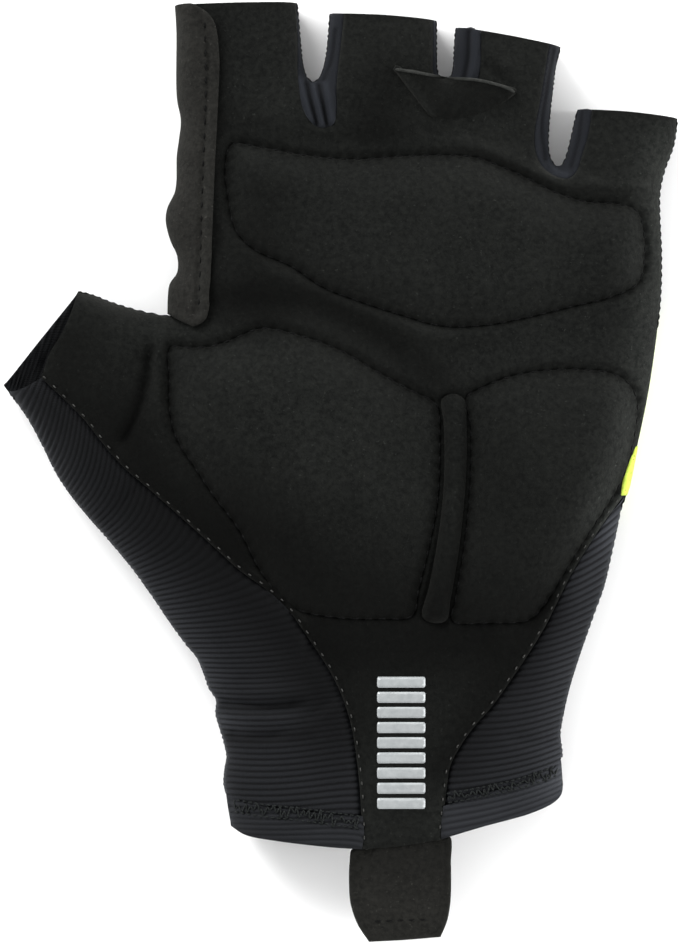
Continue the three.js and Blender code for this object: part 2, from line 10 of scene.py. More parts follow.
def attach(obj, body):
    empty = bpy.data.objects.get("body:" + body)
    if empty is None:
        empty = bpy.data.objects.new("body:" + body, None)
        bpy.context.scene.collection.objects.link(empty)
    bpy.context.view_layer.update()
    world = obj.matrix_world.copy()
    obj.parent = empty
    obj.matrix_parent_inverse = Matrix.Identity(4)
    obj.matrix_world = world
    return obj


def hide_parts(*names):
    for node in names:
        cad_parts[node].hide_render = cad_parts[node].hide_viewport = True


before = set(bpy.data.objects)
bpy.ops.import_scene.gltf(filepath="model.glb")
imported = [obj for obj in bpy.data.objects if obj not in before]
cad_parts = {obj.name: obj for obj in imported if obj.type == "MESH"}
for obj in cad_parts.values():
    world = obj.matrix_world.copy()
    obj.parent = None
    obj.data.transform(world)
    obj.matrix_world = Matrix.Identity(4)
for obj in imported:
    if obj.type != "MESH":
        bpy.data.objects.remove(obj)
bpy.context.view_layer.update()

# Suede palm panel: one cut of thin synthetic suede that covers the palm, the palm sides of the half
# fingers and the thumb, and narrows to a strip that runs down over the cuff. Its outline is drawn on
# the pattern sheet below, and its face follows the form of a glove lying empty on its back.
MM = 0.001
PATTERN_STEP = 0.2
PATTERN_ORIGIN = (339.3, 476.25)
SUEDE_WALL = 1.1
PALM_SPACING = 1.0
FINE_SPACING = 0.42
FINE_REACH = 2.2
TURN_ROWS = (0.18, 0.55)
TURN_REACH = 0.9
CLOSEST = 0.12
SUEDE_COLOUR = (0.0019, 0.0022, 0.0021)
SUEDE_LIGHT = (0.0084, 0.0090, 0.0082)

# The glove's side outline in plan, as runs between the finger, thumb and wrist openings. Every point is
# counted in steps across and down the pattern sheet.
SIDE_RUNS = {
    "index_middle_gap": [(297, 2.5), (299, 28), (301, 50), (303, 66), (307, 77), (313, 81.5), (319, 78),
                         (323.5, 68), (327, 50), (329, 28), (330, 13)],
    "middle_ring_gap": [(436.5, 20), (436.5, 50), (437, 68), (440, 76), (446, 78.5), (451, 76),
                        (453.5, 68), (454.5, 50), (456, 27)],
    "ring_little_gap": [(561, 46.5), (556, 65), (553.5, 84), (551, 105), (549, 126), (548.5, 145),
                        (550, 156), (554, 163.5), (558.5, 166), (563, 163.5), (567, 155), (571, 140),
                        (575, 122), (578, 109)],
    "outer_edge": [(678, 118), (674, 145), (665, 170), (660.5, 190), (660, 215), (661.5, 250), (661, 290),
                   (658, 325), (652, 370), (647, 400), (642, 425), (637, 448), (628, 490), (622, 505),
                   (611, 555), (603, 588), (593, 616), (583, 644), (575, 668), (568, 692), (562, 720),
                   (560, 735), (562, 752), (561.5, 770), (563, 785)],
    "wrist_edge": [(231, 826), (228, 800), (224, 784), (225, 770), (227, 756), (224, 742), (220, 728),
                   (216, 714), (216.5, 700), (209, 688), (204, 673), (197, 657), (186, 644), (166, 616),
                   (147, 588), (126, 560), (102, 532), (78, 504), (58, 476), (44, 448), (29, 420),
                   (18, 404), (3, 385)],
    "thumb_top": [(78, 291), (95, 296), (110, 302), (140, 311), (166, 316), (176, 317)],
    "index_edge": [(176, 317), (177, 300), (179, 285), (183, 262), (178, 240), (172, 216), (176, 200),
                   (180, 185), (181, 150), (186, 124), (182, 98), (181.5, 60), (181.5, 5)],
}
TIP_RUNS = {
    "index_tip": [(181.5, 5), (240, 3), (297, 2.5)],
    "middle_tip": [(330, 13), (385, 15.5), (436.5, 20)],
    "ring_tip": [(456, 27), (510, 35.5), (561, 46.5)],
    "little_tip": [(578, 109), (628, 112), (678, 118)],
    "hem_edge": [(563, 785), (561, 794), (553, 802), (531, 812), (481, 826), (441, 838), (400, 845),
                 (362, 848), (330, 846), (278, 840), (245, 834), (231, 826)],
    "thumb_mouth": [(3, 385), (40, 338), (78, 291)],
}

# Height of the lying glove and width of its rounded side, at spots on the pattern sheet. Each spot counts
# within FORM_REACH, the side turns down to the SIDE_MIDDLE share of the height, and the back's side is
# rounded over the BACK_ROUND share of that width.
FORM_SPOTS = [
    {"at": (240, 40), "height": 10.5, "edge": 4.4}, {"at": (384, 40), "height": 10.5, "edge": 4.4},
    {"at": (505, 70), "height": 10.5, "edge": 4.4}, {"at": (622, 140), "height": 10.3, "edge": 4.4},
    {"at": (240, 130), "height": 11.2, "edge": 6}, {"at": (400, 130), "height": 11.6, "edge": 6},
    {"at": (600, 200), "height": 11.8, "edge": 7}, {"at": (240, 230), "height": 13.8, "edge": 12},
    {"at": (420, 240), "height": 14.8, "edge": 14}, {"at": (600, 270), "height": 14.2, "edge": 14},
    {"at": (260, 340), "height": 15.8, "edge": 18}, {"at": (440, 350), "height": 15.8, "edge": 20},
    {"at": (600, 380), "height": 15.8, "edge": 18}, {"at": (260, 460), "height": 16, "edge": 20},
    {"at": (430, 480), "height": 15.6, "edge": 20}, {"at": (570, 490), "height": 16, "edge": 18},
    {"at": (270, 580), "height": 15.6, "edge": 20}, {"at": (420, 610), "height": 15, "edge": 20},
    {"at": (540, 600), "height": 15.4, "edge": 18}, {"at": (300, 700), "height": 13.9, "edge": 15},
    {"at": (500, 700), "height": 13.9, "edge": 15}, {"at": (290, 800), "height": 13.3, "edge": 12},
    {"at": (400, 800), "height": 13.5, "edge": 12}, {"at": (510, 800), "height": 13.3, "edge": 12},
    {"at": (40, 340), "height": 10.8, "edge": 5}, {"at": (90, 390), "height": 12, "edge": 7},
    {"at": (140, 430), "height": 13.4, "edge": 11}, {"at": (140, 510), "height": 13.8, "edge": 13},
    {"at": (190, 560), "height": 14.6, "edge": 16},
]
FORM_REACH = 9.5
SIDE_MIDDLE = 0.48
BACK_ROUND = 0.7

# Soft folds in the cloth: a line on the pattern sheet, its height and its half width. Folds settle out
# beside the glove's edge and fade at both ends of their line.
FOLD_SETTLE = 2.5
FOLD_FADE = 3
FOLD_END = 0.35
FOLDS = [
    {"line": [(453, 138), (475, 147), (500, 156), (526, 169), (560, 182), (600, 187)],
     "lift": 0.95, "width": 1.2},
    {"line": [(262, 272), (300, 286), (340, 303), (380, 320), (430, 337), (500, 333)],
     "lift": 0.7, "width": 1.3},
    {"line": [(226, 302), (275, 303), (315, 307), (345, 320), (380, 338), (410, 358)],
     "lift": -1.7, "width": 3.4},
    {"line": [(430, 352), (500, 350), (580, 335), (625, 325)], "lift": -0.8, "width": 3.6},
    {"line": [(150, 348), (147, 378), (139, 408), (128, 432), (118, 446)], "lift": -1.5, "width": 1.3},
    {"line": [(164, 325), (161, 350), (160, 400), (166, 430)], "lift": 0.7, "width": 1.1},
    {"line": [(95, 300), (130, 330), (134, 362)], "lift": 0.5, "width": 3.0},
    {"line": [(575, 176), (600, 186), (662, 190)], "lift": 0.7, "width": 1.0},
    {"line": [(582, 200), (620, 198), (655, 202)], "lift": -0.5, "width": 1.2},
    {"line": [(481, 54), (487, 68), (502, 82)], "lift": -0.8, "width": 0.6},
    {"line": [(488, 50), (500, 64), (512, 72)], "lift": 0.5, "width": 0.8},
    {"line": [(214, 699), (240, 704), (270, 707), (300, 704)], "lift": -1.1, "width": 1.1},
    {"line": [(205, 684), (245, 690), (310, 690)], "lift": 0.5, "width": 1.5},
    {"line": [(216, 716), (250, 718), (305, 716)], "lift": 0.6, "width": 1.4},
    {"line": [(224, 731), (250, 735), (285, 734)], "lift": -0.8, "width": 1.1},
    {"line": [(562, 738), (535, 742), (505, 735)], "lift": -0.5, "width": 1.4},
    {"line": [(120, 490), (180, 550), (240, 605), (290, 660), (325, 715)], "lift": -1.3, "width": 6.5},
    {"line": [(560, 590), (525, 650), (490, 700)], "lift": -0.7, "width": 5.0},
    {"line": [(300, 642), (345, 652), (400, 652), (460, 645), (500, 640)], "lift": -1.5, "width": 4.6},
    {"line": [(395, 660), (402, 720), (402, 800)], "lift": -0.7, "width": 5.5},
    {"line": [(215, 120), (235, 135), (300, 140), (345, 145), (420, 138)], "lift": -0.6, "width": 2.6},
    {"line": [(222, 190), (221, 240), (230, 275)], "lift": -0.6, "width": 1.8},
    {"line": [(400, 95), (412, 115), (440, 130), (480, 132)], "lift": -0.6, "width": 2.4},
]

# Slight unevenness of all the cloth: height, wave length and seed.
WAVES = [(0.16, 17, 3), (0.05, 6, 4)]


def on_sheet(points):
    """Steps on the pattern sheet to millimetres in the glove's frame."""
    points = np.asarray(points, float)
    across = (points[:, 0] - PATTERN_ORIGIN[0]) * PATTERN_STEP
    return np.stack([across, (PATTERN_ORIGIN[1] - points[:, 1]) * PATTERN_STEP], axis=1)


def resample(points, spacing, closed=False):
    """Evenly spaced points along a polyline, ends kept."""
    line = np.vstack([points, points[:1]]) if closed else points
    run = np.r_[0, np.cumsum(np.hypot(*np.diff(line, axis=0).T))]
    count = max(2, int(round(run[-1] / spacing)) + 1)
    marks = np.linspace(0, run[-1], count)
    even = np.stack([np.interp(marks, run, line[:, axis]) for axis in (0, 1)], axis=1)
    return even[:-1] if closed else even


def curve(steps, spacing=0.8, closed=False):
    """A smooth curve through points of the pattern sheet, in millimetres."""
    knots = on_sheet(steps)
    if closed:
        knots = np.vstack([knots[-1:], knots, knots[:2]])
    else:
        knots = np.vstack([2 * knots[0] - knots[1], knots, 2 * knots[-1] - knots[-2]])
    pieces = []
    for before, start, end, after in zip(knots[:-3], knots[1:-2], knots[2:-1], knots[3:]):
        spans = ((before, start), (start, end), (end, after))
        into, along, out = (max(1e-6, np.hypot(*(b - a))) ** 0.5 for a, b in spans)
        leave = (start - before) / into - (end - before) / (into + along) + (end - start) / along
        arrive = (end - start) / along - (after - start) / (along + out) + (after - end) / out
        share = np.linspace(0, 1, 13)[:-1, None]
        square, cube = share ** 2, share ** 3
        pieces.append((2 * cube - 3 * square + 1) * start + (cube - 2 * square + share) * leave * along
                      + (3 * square - 2 * cube) * end + (cube - square) * arrive * along)
    line = np.vstack(pieces + [knots[-2:-1]])
    return resample(line[:-1] if closed else line, spacing, closed)


def net(lines, closed=False):
    """A search tree over the short steps of one or more lines."""
    lines = [np.vstack([line, line[:1]]) if closed else line for line in lines]
    start = np.vstack([line[:-1] for line in lines])
    step = np.vstack([np.diff(line, axis=0) for line in lines])
    length = np.maximum(1e-9, np.hypot(*step.T))
    run = np.cumsum(length) - length
    tree = KDTree(len(start))
    for index, middle in enumerate(start + step / 2):
        tree.insert((*middle, 0), index)
    tree.balance()
    return {"tree": tree, "start": start, "step": step, "length": length, "run": run}


def measure(points, web):
    """Distance from each point to the nearest step of a net, and how far along the line it lies."""
    pick = np.array([web["tree"].find((x, y, 0))[1] for x, y in points.tolist()], int)
    offset = points - web["start"][pick]
    share = np.clip((offset * web["step"][pick]).sum(1) / web["length"][pick] ** 2, 0, 1)
    gap = np.hypot(*(offset - share[:, None] * web["step"][pick]).T)
    return gap, web["run"][pick] + share * web["length"][pick]


def inside(points, outline):
    """Whether each point lies inside a closed outline."""
    order = np.argsort(points[:, 1])
    x, y = points[order].T
    found = np.zeros(len(points), bool)
    for (x0, y0), (x1, y1) in zip(outline, np.roll(outline, -1, axis=0)):
        first, last = np.searchsorted(y, (min(y0, y1), max(y0, y1)))
        if last > first:
            row = slice(first, last)
            found[row] ^= x[row] < (x1 - x0) * (y[row] - y0) / (y1 - y0) + x0
    result = np.empty_like(found)
    result[order] = found
    return result


def bell(gap, width):
    """A soft bump across a line: 1 on it, fading out over the width."""
    return np.exp(-(gap / width) ** 2)


def rounded(share):
    """A quarter round: 1 on the flat, down to 0 where the share of the side's width is full."""
    return np.sqrt(1 - share ** 2)


side_lines = {name: curve(steps, 0.5) for name, steps in SIDE_RUNS.items()}
tip_lines = {name: curve(steps, 0.8) for name, steps in TIP_RUNS.items()}
form_at = on_sheet([spot["at"] for spot in FORM_SPOTS])
form_values = np.array([[spot["height"], spot["edge"]] for spot in FORM_SPOTS])
fold_lines = [curve(fold["line"], 0.6) for fold in FOLDS]
fold_nets = [net([line]) for line in fold_lines]
side_net = net(side_lines.values())


def side_distance(plan):
    """Distance in plan to the nearest side of the glove, leaving out its openings."""
    return measure(plan, side_net)[0]


def form(plan):
    """Height of the glove and width of its rounded side at points in plan."""
    gap = ((plan[:, None] - form_at[None]) ** 2).sum(2)
    weight = np.exp(-gap / (2 * FORM_REACH ** 2)) + 1e-9 / (1 + gap)
    height, edge = (weight @ form_values / weight.sum(1)[:, None]).T
    return height, edge


def soft_noise(plan, size, seed):
    """Gentle seeded unevenness between about -1 and 1, in waves of roughly the given size."""
    rng = np.random.default_rng(seed)
    total = np.zeros(len(plan))
    for _ in range(9):
        turn = rng.uniform(0, 2 * math.pi)
        pace = 2 * math.pi / (size * rng.uniform(0.7, 1.5))
        heading = np.array([math.cos(turn), math.sin(turn)])
        total += np.sin(plan @ heading * pace + rng.uniform(0, 2 * math.pi))
    return total / 4.5


def upper_face(plan):
    """Height of the palm side over points in plan, with its folds."""
    height, edge = form(plan)
    near = side_distance(plan)
    middle = SIDE_MIDDLE * height
    z = middle + (height - middle) * rounded(np.clip(1 - near / edge, 0, 1))
    settle = np.clip(near / FOLD_SETTLE, 0, 1)
    for fold, line, web in zip(FOLDS, fold_lines, fold_nets):
        reach = 3 * fold["width"]
        close = ((plan > line.min(0) - reach) & (plan < line.max(0) + reach)).all(1)
        gap, run = measure(plan[close], web)
        to_end = np.minimum(run, web["length"].sum() - run)
        fade = np.clip(to_end / FOLD_FADE + FOLD_END, 0, 1)
        z[close] += fold["lift"] * bell(gap, fold["width"]) * fade * settle[close]
    for lift, size, seed in WAVES:
        z = z + lift * settle * soft_noise(plan, size, seed)
    return z


def under_face(plan, near):
    """Height of the underside at points that lie the given distance in from the side."""
    height, edge = form(plan)
    share = np.clip(1 - near / (BACK_ROUND * edge), 0, 1)
    return SIDE_MIDDLE * height * (1 - rounded(share))


def lower_face(plan):
    """Height of the back over points in plan: flat on the table, rounded up to the sides."""
    return under_face(plan, side_distance(plan))


def lattice(outline, spacing, clear=0.6):
    """Staggered points that fill an outline, kept off its edge."""
    low, high = outline.min(0), outline.max(0)
    rows = np.arange(low[1], high[1], spacing * 0.866)
    columns = np.arange(low[0], high[0], spacing)
    x = columns[None] + (np.arange(len(rows)) % 2)[:, None] * spacing / 2
    plan = np.stack([x.ravel(), np.broadcast_to(rows[:, None], x.shape).ravel()], axis=1)
    plan = plan[inside(plan, outline)]
    return plan[measure(plan, net([outline], True))[0] > clear * spacing]


def leftward(line):
    """Unit steps to the left of a line, one at each of its points."""
    heading = np.gradient(line, axis=0)
    heading /= np.maximum(1e-9, np.hypot(*heading.T))[:, None]
    return np.stack([-heading[:, 1], heading[:, 0]], axis=1)


def beside(line, offsets, spacing):
    """Points in rows beside a line, at the given distances to its left."""
    even = resample(line, spacing)
    return np.vstack([even + offset * leftward(even) for offset in offsets])


def triangulate(outline, inner, warp=None):
    """Triangles over an outline and its inner points, shaped in a warped plan if one is given."""
    plan = np.vstack([outline, inner])
    flat = warp(plan) if warp else plan
    ring = [(i, (i + 1) % len(outline)) for i in range(len(outline))]
    found = delaunay_2d_cdt([Vector(p) for p in flat], ring, [], 1, 1e-5)
    if not warp:
        return np.array([tuple(p) for p in found[0]]), np.array(found[2])
    origin = np.array([source[0] if source else -1 for source in found[3]])
    faces = np.array(found[2])
    return plan[origin], faces[(origin[faces] >= 0).all(1)]


def add_mesh(name, points, faces, material, smooth=True, shade=1.0):
    """A mesh object from points in millimetres, with the light and shade painted on each point, which
    multiplies its colour.
    """
    mesh = bpy.data.meshes.new(name)
    mesh.from_pydata((np.asarray(points) * MM).tolist(), [], [list(map(int, face)) for face in faces])
    mesh.update()
    if smooth:
        mesh.shade_smooth()
    mesh.materials.append(material)
    painted_shading = np.broadcast_to(np.asarray(shade, np.float32), len(points))
    layer = mesh.attributes.new("shade", "FLOAT", "POINT")
    layer.data.foreach_set("value", np.ascontiguousarray(painted_shading))
    piece = bpy.data.objects.new(name, mesh)
    bpy.context.collection.objects.link(piece)
    return piece


def corner_normals(points, faces):
    """Smooth normals of a triangle mesh."""
    a, b, c = (points[faces[:, i]] for i in range(3))
    face_normal = np.cross(b - a, c - a)
    normal = np.zeros_like(points)
    for i in range(3):
        np.add.at(normal, faces[:, i], face_normal)
    return normal / np.maximum(1e-12, np.linalg.norm(normal, axis=1))[:, None]


def boundary_edges(faces):
    """Directed edges that only one face uses."""
    edges = np.vstack([faces[:, [0, 1]], faces[:, [1, 2]], faces[:, [2, 0]]])
    key = np.sort(edges, axis=1)
    _, index, count = np.unique(key, axis=0, return_index=True, return_counts=True)
    return edges[index[count == 1]]


def closed_shell(top, low, faces):
    """Two like sheets made into one closed body, with a rim all round."""
    count = len(top)
    rim = boundary_edges(faces)
    sides = np.vstack([np.stack([rim[:, 1], rim[:, 0], rim[:, 0] + count], axis=1),
                       np.stack([rim[:, 1], rim[:, 0] + count, rim[:, 1] + count], axis=1)])
    return np.vstack([top, low]), np.vstack([faces, faces[:, ::-1] + count, sides])


def thicken(points, faces, wall, normal=None):
    """Gives a sheet its wall on the side away from its normals."""
    normal = corner_normals(points, faces) if normal is None else normal
    return closed_shell(points, points - wall * normal, faces)


def wire(tree, made, rows, links):
    """Adds nodes from rows of name, type and settings, and links them: from, socket, to, socket."""
    for name, kind, settings in rows:
        made[name] = tree.nodes.new(kind)
        for key, value in settings.items():
            if isinstance(key, str) and hasattr(made[name], key):
                setattr(made[name], key, value)
            else:
                made[name].inputs[key].default_value = value
    for source, output, target, entry in links:
        tree.links.new(made[source].outputs[output], made[target].inputs[entry])


def finish(name, surface, rows=(), links=()):
    """A material with the given surface values, its shader nodes and their links."""
    material = bpy.data.materials.new(name)
    material.use_nodes = True
    made = {"surface": material.node_tree.nodes["Principled BSDF"]}
    for key, value in surface.items():
        made["surface"].inputs[key].default_value = value
    wire(material.node_tree, made, rows, links)
    return material


def scaled(colour, share=1.0):
    """A colour made lighter or darker, with its full cover."""
    return (*(share * part for part in colour), 1)


def suede(name, dark, light, nap=1.0):
    """Matt brushed suede with a short uneven nap and fine specks; the painted light and shade in the
    shade attribute multiply its colour.
    """
    surface = {"Roughness": 0.95, "Specular IOR Level": 0.04, "Sheen Weight": 0.03,
               "Sheen Roughness": 0.6, "Sheen Tint": (0.75, 0.76, 0.70, 1)}
    rows = [
        ("place", "ShaderNodeTexCoord", {}),
        ("cloud", "ShaderNodeTexNoise", {"Scale": 55.0, "Detail": 2.0, "Roughness": 0.5}),
        ("nap", "ShaderNodeTexNoise", {"Scale": 1500.0, "Detail": 2.0, "Roughness": 0.7}),
        ("fuzz", "ShaderNodeTexNoise", {"Scale": 950.0, "Detail": 4.0, "Roughness": 0.75}),
        ("grain", "ShaderNodeMapRange", {"From Min": 0.36, "From Max": 0.66}),
        ("patches", "ShaderNodeMapRange", {"From Min": 0.3, "From Max": 0.7}),
        ("blend", "ShaderNodeMath", {"operation": "MULTIPLY_ADD", 1: 0.72}),
        ("part", "ShaderNodeMath", {"operation": "MULTIPLY", 1: 0.28}),
        ("mix", "ShaderNodeMix", {"data_type": "RGBA", 6: scaled(dark), 7: scaled(light)}),
        ("specks", "ShaderNodeMapRange", {"From Min": 0.67, "From Max": 0.75, "To Min": 0.0,
                                          "To Max": 0.5}),
        ("speck_mix", "ShaderNodeMix", {"data_type": "RGBA", 7: scaled(light, 3.6)}),
        ("painted_shade", "ShaderNodeAttribute", {"attribute_name": "shade"}),
        ("dim", "ShaderNodeMix", {"data_type": "RGBA", "blend_type": "MULTIPLY", 0: 1.0}),
        ("bump", "ShaderNodeBump", {"Strength": 0.5 * nap, "Distance": 0.00018}),
        ("deep", "ShaderNodeBump", {"Strength": 0.6 * nap, "Distance": 0.00035}),
    ]
    links = [
        ("place", "Object", "cloud", "Vector"), ("place", "Object", "nap", "Vector"),
        ("place", "Object", "fuzz", "Vector"), ("fuzz", "Fac", "grain", "Value"),
        ("cloud", "Fac", "patches", "Value"), ("patches", "Result", "part", 0),
        ("grain", "Result", "blend", 0), ("part", 0, "blend", 2), ("blend", 0, "mix", 0),
        ("nap", "Fac", "specks", "Value"), ("specks", "Result", "speck_mix", 0),
        ("mix", 2, "speck_mix", 6), ("speck_mix", 2, "dim", 6), ("painted_shade", "Fac", "dim", 7),
        ("dim", 2, "surface", "Base Color"),
        ("nap", "Fac", "bump", "Height"), ("fuzz", "Fac", "deep", "Height"),
        ("deep", "Normal", "bump", "Normal"), ("bump", "Normal", "surface", "Normal"),
    ]
    return finish(name, surface, rows, links)


# Where the suede ends: at the finger tips, against the finger strips, at the thumb's mouth, against the
# ribbed cloth and over the hem.
SUEDE_TIPS = {
    "index": [(181.5, 5), (240, 3), (296, 2.5)],
    "middle": [(344, 14), (385, 15.5), (433, 20)],
    "ring": [(481, 31), (515, 37), (549, 44)],
    "little": [(592, 110), (628, 112), (678, 118)],
}
STRIP_LINES = {
    "index_middle": [(296, 2.5), (297.5, 40), (297.5, 70), (299, 88), (302, 107), (308, 119), (316, 127),
                     (326, 128.5), (334, 124), (337, 110), (336.5, 90), (338, 70), (341, 45), (344, 14)],
    "middle_ring": [(433, 20), (433, 50), (433.5, 74), (440, 90), (458, 96), (474, 90), (480, 72),
                    (481, 50), (481, 31)],
    "ring_little": [(549, 44), (545, 70), (540, 100), (534, 135), (536, 155), (543, 168), (556, 177),
                    (568, 179), (576, 172), (582, 155), (588, 135), (592, 110)],
}
THUMB_SEAM = [(42, 378), (62, 397), (85, 420), (103, 443), (125, 468), (152, 491), (170, 507), (197, 531),
              (218, 550), (240, 570), (265, 588), (288, 609), (310, 640), (335, 680), (350, 720),
              (358, 770), (361, 810), (362, 848)]
OUTER_SEAM = [(628, 490), (605, 520), (585, 550), (570, 575), (555, 605), (545, 625), (530, 650),
              (510, 680), (492, 705), (477, 722), (462, 742), (450, 765), (446, 790), (443, 820),
              (441, 838)]
THUMB_MOUTH_FACE = [(42, 378), (50, 354), (62, 334), (71, 314), (78, 291)]
SUEDE_HEM = [(441, 838), (400, 845), (362, 848)]
SEAM_ROLL = {"lift": 0.45, "at": 0.8, "width": 0.6}

PAD_OUTLINES = {
    "knuckle_pad": [(232, 145), (262, 148), (300, 155), (351, 160), (400, 157), (440, 156), (475, 158),
                    (500, 167), (525, 178), (555, 193), (585, 202), (620, 205), (637, 212), (643, 232),
                    (644, 258), (638, 282), (613, 296), (570, 307), (520, 319), (480, 326), (440, 326),
                    (400, 315), (360, 302), (324, 288), (290, 266), (255, 250), (236, 230), (229, 200),
                    (226, 165)],
    "thumb_pad": [(171, 348), (190, 348), (211, 347), (235, 339), (262, 329), (300, 336), (340, 351),
                  (380, 374), (415, 393), (436, 405), (439, 440), (437, 500), (430, 540), (418, 590),
                  (412, 615), (380, 618), (330, 616), (292, 606), (262, 572), (240, 530), (214, 495),
                  (196, 468), (178, 440), (171, 415), (170, 380)],
    "heel_pad": [(466, 398), (482, 388), (510, 377), (545, 371), (580, 370), (608, 373), (625, 381),
                 (635, 396), (637, 415), (632, 445), (624, 474), (610, 500), (590, 530), (565, 570),
                 (545, 602), (528, 619), (490, 622), (452, 620), (455, 600), (462, 560), (468, 510),
                 (471, 460), (470, 425)],
    "palm_rib": [(441, 400), (452, 394), (464, 400), (466, 425), (466, 465), (463, 510), (457, 560),
                 (450, 600), (446, 620), (430, 622), (422, 616), (429, 585), (438, 535), (443, 490),
                 (444, 450), (443, 420)],
}
CHANNEL_DEPTH = 1.1
CHANNEL_WIDTH = 1.25
STITCH_PITCH = 2.7
STITCH_LENGTH = 1.7
HOLE_DEPTH = 0.35
HOLE_WIDTH = 0.8
RIB_HOLE = 0.4

# Light and shade painted into the cloth's colour. Channels, stitch holes and broad hollows get painted
# shade, a negative dark paints light on places that lie more open, and TIP_SHADE paints shade at the cut
# tips.
CHANNEL_SHADE = {"dark": 0.28, "width": 1.4}
HOLE_SHADE = {"dark": 0.4, "width": 0.55}
TIP_SHADE = {"dark": 0.6, "width": 0.4}
PAINTED_SHADING_LINES = [
    {"line": [(226, 302), (275, 302), (315, 306), (345, 320), (380, 338), (430, 372)],
     "dark": 0.65, "width": 5},
    {"line": [(330, 650), (400, 655), (470, 645)], "dark": 0.55, "width": 8},
    {"line": [(400, 690), (402, 800)], "dark": 0.3, "width": 8},
    {"line": [(150, 500), (200, 550), (250, 600), (300, 650), (335, 725)], "dark": 0.75, "width": 9},
    {"line": [(545, 612), (515, 655), (480, 710), (455, 760)], "dark": 0.65, "width": 6.5},
    {"line": [(120, 400), (150, 470), (230, 545)], "dark": 0.45, "width": 7},
    {"line": [(50, 415), (95, 470), (145, 530)], "dark": 0.4, "width": 7},
    {"line": [(440, 100), (470, 106), (500, 100)], "dark": 0.3, "width": 3.5},
    {"line": [(225, 115), (300, 138), (350, 135), (430, 130)], "dark": 0.25, "width": 3.5},
    {"line": [(150, 350), (147, 378), (139, 408), (127, 434)], "dark": 0.5, "width": 1.6},
    {"line": [(70, 350), (75, 400), (120, 440)], "dark": 0.62, "width": 9},
    {"line": [(262, 200), (255, 260), (265, 310)], "dark": 0.5, "width": 7},
    {"line": [(240, 530), (350, 590), (430, 610)], "dark": 0.7, "width": 13},
    {"line": [(615, 530), (580, 600), (565, 680), (560, 780)], "dark": -0.75, "width": 5},
    {"line": [(460, 815), (500, 810), (560, 780)], "dark": -0.7, "width": 6},
    {"line": [(500, 470), (505, 560), (490, 620)], "dark": 0.35, "width": 10},
    {"line": [(384, 88), (380, 130)], "dark": 0.5, "width": 6},
    {"line": [(660, 150), (655, 300), (634, 420), (606, 520)], "dark": -1.3, "width": 5},
    {"line": [(260, 370), (300, 420), (330, 450)], "dark": -0.2, "width": 9},
    {"line": [(218, 20), (223, 60), (221, 120), (217, 200), (214, 300)], "dark": 0.4, "width": 1.6},
    {"line": [(223, 707), (262, 707), (300, 702)], "dark": 0.5, "width": 1.3},
    {"line": [(230, 738), (262, 738), (310, 732)], "dark": 0.5, "width": 1.3},
    {"line": [(228, 722), (262, 722), (290, 719)], "dark": -0.35, "width": 1.8},
    {"line": [(112, 545), (160, 602), (197, 655), (220, 720)], "dark": -0.7, "width": 4},
]

strip_lines = {name: curve(steps, 0.6) for name, steps in STRIP_LINES.items()}
thumb_seam = curve(THUMB_SEAM, 0.5)
outer_seam = curve(OUTER_SEAM, 0.5)
thumb_face = curve(THUMB_MOUTH_FACE, 0.7)
pad_lines = {name: curve(steps, 0.6, closed=True) for name, steps in PAD_OUTLINES.items()}
pad_nets = {name: net([line], True) for name, line in pad_lines.items()}
channel_net = net(pad_lines.values(), True)


def between(line, start, end):
    """The stretch of a line between the spots nearest to two points of the pattern sheet."""
    first, last = (int(np.hypot(*(line - on_sheet([spot])[0]).T).argmin()) for spot in (start, end))
    return line[first:last + 1]


def chain(parts):
    """Joins lines end to end into one closed outline, without doubled points."""
    points = np.vstack(parts)
    keep = np.hypot(*(points - np.roll(points, 1, axis=0)).T) > CLOSEST
    return points[keep]


suede_tips = {name: curve(steps) for name, steps in SUEDE_TIPS.items()}
suede_outline = chain([
    suede_tips["index"], strip_lines["index_middle"], suede_tips["middle"], strip_lines["middle_ring"],
    suede_tips["ring"], strip_lines["ring_little"], suede_tips["little"],
    between(side_lines["outer_edge"], SUEDE_TIPS["little"][-1], OUTER_SEAM[0]), outer_seam,
    curve(SUEDE_HEM), thumb_seam[::-1], thumb_face, side_lines["thumb_top"], side_lines["index_edge"],
])
seam_net = net([thumb_seam, outer_seam])
tip_net = net([line for name, line in tip_lines.items() if name.endswith("tip")])
painted_shading_nets = [net([curve(hollow["line"], 0.8)]) for hollow in PAINTED_SHADING_LINES]


def stitch_holes(plan):
    """Distance to the nearest channel, and 1 where its thread dives down between two stitches."""
    near, hole = np.full(len(plan), 1e9), np.zeros(len(plan))
    for name, web in pad_nets.items():
        gap, run = measure(plan, web)
        total = web["length"].sum()
        pitch = total / (total // STITCH_PITCH)
        dive = 0.5 - 0.5 * np.cos(2 * math.pi * (run - 0.5 * STITCH_LENGTH) / pitch)
        closer = gap < near
        near[closer] = gap[closer]
        hole[closer] = RIB_HOLE if name == "palm_rib" else dive[closer]
    return near, hole


def channel_depth(plan):
    """How deep the sewn channels pull the suede in, most of all at the stitch holes."""
    near, hole = stitch_holes(plan)
    return CHANNEL_DEPTH * bell(near, CHANNEL_WIDTH) + HOLE_DEPTH * hole * bell(near, HOLE_WIDTH)


def palm_face(plan):
    """The suede's own height, with the sewn channels and the rolled edge at the two long seams."""
    roll = SEAM_ROLL["lift"] * bell(measure(plan, seam_net)[0] - SEAM_ROLL["at"], SEAM_ROLL["width"])
    return upper_face(plan) - channel_depth(plan) + roll


def shaded(gap, mark):
    """What a line of painted shade leaves of the colour at a distance from it; a negative dark paints
    light.
    """
    return 1 - mark["dark"] * bell(gap, mark["width"])


